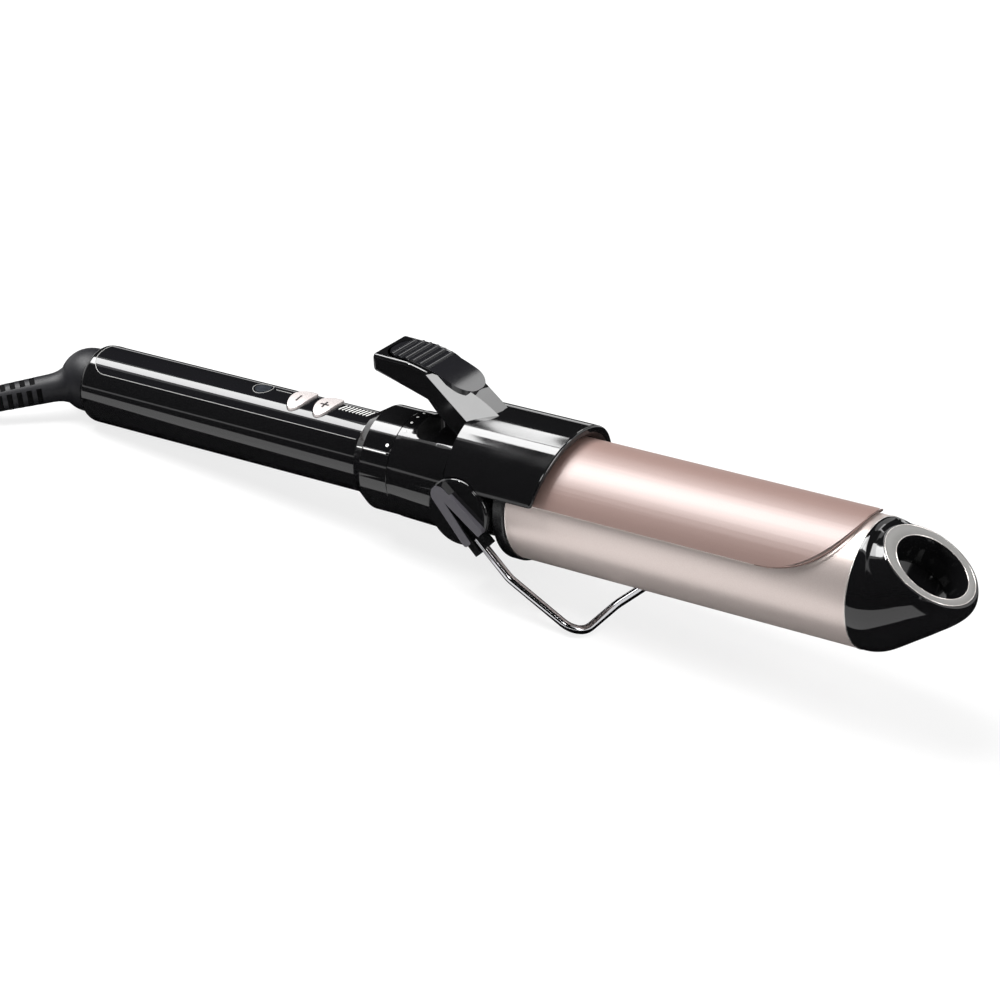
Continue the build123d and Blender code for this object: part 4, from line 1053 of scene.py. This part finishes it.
corner = [(BEND_X - BEND_RADIUS * c, BEND_Y + BEND_RADIUS * s) for c, s in quarter]
plan = corner[::-1] + [(x, -y) for x, y in corner]
plan = [(PANEL_FRONT, PANEL_HALF_WIDTH)] + plan + [(PANEL_FRONT, -PANEL_HALF_WIDTH)]
panel_line = []
for (x, y), (next_x, next_y) in zip(plan, plan[1:]):
    for k in range(LINE_STEPS):
        panel_line.append(on_panel(x + (next_x - x) * k / LINE_STEPS, y + (next_y - y) * k / LINE_STEPS))
panel_line.append(on_panel(*plan[-1]))
lens_line = [on_panel(LENS_X + LENS_RING * c, LENS_RING * s) for c, s in circle(48)]
thin_line = [around(71.6 + k, PANEL_RADIUS, -3) for k in range(7)]
add_line("panel_edge_line", "handle", panel_line, 0.1, grey_ink)
add_line("lens_ring_line", "handle", lens_line, 0.1, grey_ink, closed=True)
add_line("panel_thin_line", "handle", thin_line, 0.12, grey_ink)
print("panel edge line has", len(panel_line), "points")

# %% Ticks and dots of the scale
TICK_PITCH, NECK_RADIUS = 1.3, 16.55
tick_size = Vector((3.4, 0.38, 0.2)) * MM
ticks = [seat(98.0 + TICK_PITCH * k, PANEL_RADIUS, 0, spin=75) for k in range(9)]
dots = [seat(127.4, NECK_RADIUS, turn) for turn in (-6, 5, 16, 29)]
add_row("panel_ticks", "handle", bars_tree, ticks, {"Size": tick_size, "Finish": white_ink})
add_row("neck_scale_dots", "handle", dots_tree, dots, {
    "Radius": 0.42 * MM, "Depth": 0.14 * MM, "Finish": white_ink})
print(len(ticks), "ticks and", len(dots), "dots")

# %% Marks on the dial and the buttons
# The dial widens by a short cone at its rear, and the line runs up the cone and on along the ring.
DIAL_X, CONE_RADIUS, CONE_RISE, CONE_LENGTH = 112.2, 13.9, 2.4, 4
INDEX_TURN, DOT_TURN, BUTTON_TURN = 58, 49, 8
BUTTON_TOP = 13.32
sign_size = Vector((3.0, 0.55, 0.16)) * MM
index_line = []
for k in range(13):
    surface = CONE_RADIUS + CONE_RISE * min((0.9 + k) / CONE_LENGTH, 1)
    index_line.append(around(DIAL_X + k, surface + (0.32 if k > 3 else 0.06), INDEX_TURN))
add_line("dial_index_line", "dial", index_line, 0.17, white_ink)
add_row("dial_index_dot", "dial", dots_tree, [seat(123.6, 16.32, DOT_TURN)], {
    "Radius": 0.55 * MM, "Depth": 0.16 * MM, "Finish": white_ink})
for key, x, spins in (("minus_key", 82.4, [90]), ("plus_key", 92.4, [0, 90])):
    strokes = [seat(x, BUTTON_TOP, BUTTON_TURN, spin) for spin in spins]
    add_row(key + "_sign", key, bars_tree, strokes, {"Size": sign_size, "Finish": dark_ink})
    print(key, "sign has", len(strokes), "strokes")

# %% [markdown]
# ## Bright rims and the plate's edges
#
# Round both ends of the barrel, round the tip's ring and along the sides of the clamp plate, thin
# near-white lines are painted highlights, where these edges catch the light; along the plate's nose a dark
# line is painted shade of its cut edge. A bevel that fine would be lost in the render, so each edge is a
# fine round line that follows it.

# %% Rims of the barrel and the ring
BARREL_RADIUS = 19.0
# Painted highlights: thin near-white lines round both ends of the barrel.
for name, x in (("barrel_rear_rim", 170.25), ("barrel_front_rim", 282.6)):
    rim = [(x, BARREL_RADIUS * c, BARREL_RADIUS * s) for c, s in circle(128)]
    add_line(name, "handle", rim, 0.16, rim_highlight_paint, closed=True)
# The same painted highlight round both edges of the tip's ring.
for name, (reach, half_width), inset in (("tip_ring_edge_outer", ring_outline, 0.05),
                                         ("tip_ring_edge_inner", hole, -0.2)):
    add_line(name, "handle", face_oval(reach, half_width, inset, -0.1), 0.1, rim_highlight_paint, closed=True)
print("four bright rims")

# %% Edges of the clamp plate
PLATE_RADIUS, PLATE_EDGE_RADIUS, PLATE_EDGE_TURN = 20.0, 19.95, 70.3
PLATE_REAR, NOSE_X, NOSE_LENGTH = 172, 254.2, 26
NOSE_LOW, NOSE_HIGH = 6.74, 20.2
nose = []
for k in range(25):
    share = k / 24
    bow = 0.62 * (1 - (1 - share) ** 1.55) + 0.38 * share
    nose.append((NOSE_X + NOSE_LENGTH * bow, NOSE_LOW + (NOSE_HIGH - NOSE_LOW) * share ** 1.9))
# A painted shade along the plate's nose and a painted highlight along each side.
for side, label in ((-1, "near"), (1, "far")):
    edge = [(x, side * math.sqrt(max(PLATE_RADIUS ** 2 - z * z, 0)), z) for x, z in nose]
    add_line("plate_nose_edge_" + label, "clamp", edge, 0.22, nose_shade_paint)
    edge = [around(PLATE_REAR + 2 * k, PLATE_EDGE_RADIUS, -PLATE_EDGE_TURN * side) for k in range(42)]
    add_line("plate_side_edge_" + label, "clamp", edge, 0.2, rim_highlight_paint)
print("plate's nose reaches x =", round(nose[-1][0], 1))

# %% [markdown]
# ## What the cord is
#
# A cord is more than its shape: its real length, its thickness and what is on its end are facts that
# whoever uses the part needs. They are declared here, once its boot, its tie and its plug are there.

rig.cord(mains_lead, exit=cord_exit * MM, length=1.8, diameter=0.006, far_end="plug", stiffness="medium",
        lay="coiled", with_pieces=["swivel_boot_form", "cord_tie", "plug_body_rounded", "plug_pins"])
print("cord leaves the boot at", [round(value, 4) for value in cord_exit * MM])

# %% [markdown]
# ## Floor and backdrop
#
# The iron lies on white paper in a white room. With lamps alone, the room would need so much light that
# the iron's own colours would wash out. So the camera, reflections and glass see floor and room as
# white, while the light that they give stays low, and the paper keeps the iron's soft shadow.

# %% White to the eye only
def bare_tree(owner):
    """The emptied node tree of a material or a world."""
    owner.use_nodes = True
    owner.node_tree.nodes.clear()
    return owner.node_tree


def seen(tree):
    """1 for the camera, for reflections and through glass, and 0 for the light that falls on things."""
    path = node(tree, "ShaderNodeLightPath")
    share = path.outputs["Is Camera Ray"]
    for ray in ("Is Glossy Ray", "Is Transmission Ray"):
        both = node(tree, "ShaderNodeMath", {0: share, 1: path.outputs[ray]}, operation="MAXIMUM")
        share = both.outputs[0]
    return share


print("floor and room helpers ready")

# %% Floor
FLOOR_REACH, PAPER, FLOOR_GLOW = 6, 0.9, 0.8
WHITE = (1, 1, 1, 1)
floor_mesh = bpy.data.meshes.new("floor")
floor_corners = [(FLOOR_REACH * x, FLOOR_REACH * y, 0) for x, y in ((-1, -1), (1, -1), (1, 1), (-1, 1))]
floor_mesh.from_pydata(floor_corners, [], [(0, 1, 2, 3)])
floor = put("floor", floor_mesh)
floor_paper = bpy.data.materials.new("floor_white_paper")
tree = bare_tree(floor_paper)
paper = node(tree, "ShaderNodeBsdfDiffuse", {"Color": (PAPER, PAPER, PAPER, 1)})
glow = node(tree, "ShaderNodeEmission", {"Color": WHITE, "Strength": 1.0})
share = node(tree, "ShaderNodeMath", {0: seen(tree), 1: FLOOR_GLOW}, operation="MULTIPLY")
mixed = node(tree, "ShaderNodeMixShader", {0: share.outputs[0], 1: paper.outputs[0], 2: glow.outputs[0]})
node(tree, "ShaderNodeOutputMaterial", {"Surface": mixed.outputs[0]})
floor_mesh.materials.append(floor_paper)
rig.stage(floor)
print("floor of", 2 * FLOOR_REACH, "m")

# %% Room
ROOM_LIGHT, ROOM_SEEN = 0.2, 1.0
scene.world = bpy.data.worlds.new("white_studio")
tree = bare_tree(scene.world)
strength = node(tree, "ShaderNodeMapRange", {
    "Value": seen(tree), "To Min": ROOM_LIGHT, "To Max": ROOM_SEEN})
room = node(tree, "ShaderNodeBackground", {"Color": WHITE, "Strength": strength.outputs["Result"]})
node(tree, "ShaderNodeOutputWorld", {"Surface": room.outputs[0]})
print("room lights with", ROOM_LIGHT, "and is seen at", ROOM_SEEN)

# %% [markdown]
# ## Soft boxes
#
# Glossy black parts show the studio more than themselves. The long key box overhead gives the white band
# along the handle and lights the barrel. The other boxes are small and each has its own place: front and
# side boxes for the near side, a rear one for the far edges, and one each for the highlights on the
# clamp's shell, on the rims, on the plate and on the tip.

# %% Hang the soft boxes
def soft_box(name, middle, aim, size, watts, spin=0.0):
    """Rectangular lamp at a place, facing a point and spun about its own axis."""
    lamp = bpy.data.lights.new(name, "AREA")
    lamp.shape = "RECTANGLE"
    lamp.size, lamp.size_y = size
    lamp.energy = watts
    facing = (Vector(middle) - Vector(aim)).to_track_quat("Z", "Y").to_matrix().to_4x4()
    spun = Matrix.Rotation(math.radians(spin), 4, "Z")
    put(name, lamp).matrix_world = Matrix.Translation(middle) @ facing @ spun


soft_box("key_soft_box", (-0.72, -0.01, 1.0), (-0.72, -0.01, 0), (1.05, 0.42), 19)
soft_box("front_soft_box", (0.333, -0.889, 0.788), (0, 0, 0.05), (0.22, 0.22), 1.5)
soft_box("side_soft_box", (1.08, 0.0, 0.48), (0.03, 0, 0.04), (0.6, 0.4), 6.0)
soft_box("rear_soft_box", (0.1, 0.95, 0.9), (0, 0, 0.05), (0.5, 0.3), 1.4)
soft_box("shell_soft_box", (-0.459, 0.2825, 0.62), (-0.459, 0.2825, 0), (0.045, 0.32), 0.5, spin=15.6)
soft_box("rim_soft_box", (0.54, 0.34, 0.70), (0.03, 0, 0.06), (0.1, 0.3), 1.2)
soft_box("plate_soft_box", (-0.325, -0.2, 0.567), (-0.325, -0.2, 0), (0.06, 0.15), 2.0)
soft_box("tip_soft_box", (-0.095, 0.02, 1.0), (-0.095, 0.02, 0), (0.2, 0.44), 2.6)
print(sum(thing.type == "LIGHT" for thing in scene.objects), "soft boxes")

# %% [markdown]
# ## Dark cards
#
# Between the highlights the gloss has to stay black, so black felt cards stand, hang and lie where it
# would mirror the white floor or room, as in any product studio. Only reflections see them, and they cast
# no shadow. Two of them fade out towards their border, for a band with a soft end. The one right under
# the iron is a painted shadow: it stands in for the iron's shadow, which the glowing floor hides from
# reflections.

# %% A dark card
FELT = (0.004, 0.004, 0.004, 1)
card_felt = bpy.data.materials.new("card_black_felt")
tree = bare_tree(card_felt)
felt = node(tree, "ShaderNodeBsdfDiffuse", {"Color": FELT})
clear = node(tree, "ShaderNodeBsdfTransparent")
faded = node(tree, "ShaderNodeAttribute", attribute_name="cover")
mixed = node(tree, "ShaderNodeMixShader", {
    0: faded.outputs["Fac"], 1: clear.outputs[0], 2: felt.outputs[0]})
node(tree, "ShaderNodeOutputMaterial", {"Surface": mixed.outputs[0]})


def dark_card(name, corners, soft=0.0):
    """Black card that only reflections see; its border may fade over a soft width."""
    shape = bmesh.new()
    face = shape.faces.new([shape.verts.new(corner) for corner in corners])
    cover = shape.verts.layers.float.new("cover")
    if soft:
        bmesh.ops.inset_individual(shape, faces=[face], thickness=soft)
    for vert in face.verts:
        vert[cover] = 1.0
    mesh = bpy.data.meshes.new(name)
    shape.to_mesh(mesh)
    shape.free()
    mesh.materials.append(card_felt)
    made = put(name, mesh)
    made.visible_camera = False
    made.visible_diffuse = False
    made.visible_shadow = False
    made.visible_transmission = False
    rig.stage(made)


def flat(height, *places):
    """Corners at one height."""
    return [(x, y, height) for x, y in places]


print("card material:", card_felt.name)

# %% Cards around the iron
dark_card("front_card", [(-1.9, -0.3, 1.0), (0.0, -0.3, 1.0), (0.0, -1.4, 0.1), (-1.9, -1.4, 0.1)])
dark_card("right_card", [(1.22, -0.44, 0.02), (0.745, -1.065, 0.02), (0.745, -1.065, 1.3),
                         (1.22, -0.44, 1.3)])
dark_card("rear_card", [(-1.9, 0.26, 1.0), (-0.12, 0.26, 1.0), (-0.12, 1.3, 0.03), (-1.9, 1.3, 0.03)])
dark_card("brow_card", [(0.065, 0.2, 0.08), (0.115, 0.2, 0.08), (0.115, 0.2, 0.26), (0.065, 0.2, 0.26)])
dark_card("low_card", [(-0.8, -1.4, 0.0), (0.76, -1.4, 0.0), (0.76, -0.85, 0.55), (0.0, -0.85, 0.55),
                       (0.0, -1.4, 0.12), (-0.8, -1.4, 0.12)])
dark_card("camera_card", [(-0.1, -1.2, 0.2), (0.8, -1.2, 0.2), (0.8, -1.2, 1.7), (-0.1, -1.2, 1.7)])
dark_card("shell_card", flat(0.4, (-0.274, -0.22), (-0.22, -0.22), (-0.22, -0.02), (-0.274, -0.02)))
dark_card("top_card", flat(1.03, (0.01, -0.8), (0.8, -0.8), (0.8, 0.9), (-0.14, 0.9), (-0.14, 0.25),
                           (0.01, 0.25)))
print("cards hang in front, beside, behind and above")

# %% Cards on the floor
ON_FLOOR = 0.0004
# A painted shadow: the card under the iron stands in for its shadow, which the floor's white glow hides from
# reflections.
dark_card("under_card", flat(ON_FLOOR, (-0.32, -0.026), (-0.03, -0.03), (0.12, -0.036), (0.5, -0.09),
                             (0.5, 0.25), (-0.32, 0.25)))
dark_card("far_card", flat(ON_FLOOR, (-1.9, -0.072), (-0.065, -0.072), (-0.1, -0.19), (-0.16, -0.33),
                           (-0.1, -0.42), (-0.1, -1.4), (-1.9, -1.4)))
dark_card("hub_card", flat(ON_FLOOR, (-0.036, -0.046), (-0.002, -0.046), (-0.002, -0.083),
                           (-0.036, -0.083)))
dark_card("lever_card", flat(ON_FLOOR, (-0.07, -0.056), (-0.036, -0.056), (-0.036, -0.1), (-0.07, -0.1)))
# These two overlap others, so they lie a tenth of a millimetre lower and higher.
dark_card("tip_card", flat(0.0003, (0.07, -0.115), (0.03, -0.19), (-0.115, -0.41), (-0.115, -1.4),
                           (0.9, -1.4), (0.9, -0.115)), soft=0.025)
dark_card("nose_card", flat(0.0005, (0.17, -0.2), (0.9, -0.2), (0.9, 0.02), (0.17, 0.02)), soft=0.05)
print("cards lie under and around the iron")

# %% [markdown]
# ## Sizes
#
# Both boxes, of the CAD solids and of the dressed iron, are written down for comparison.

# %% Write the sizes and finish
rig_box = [list(corner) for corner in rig.bounds()]
with open("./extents.json", "w") as file:
    json.dump({"cad": cad_box, "visual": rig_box}, file)
print("visual box in metres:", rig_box)
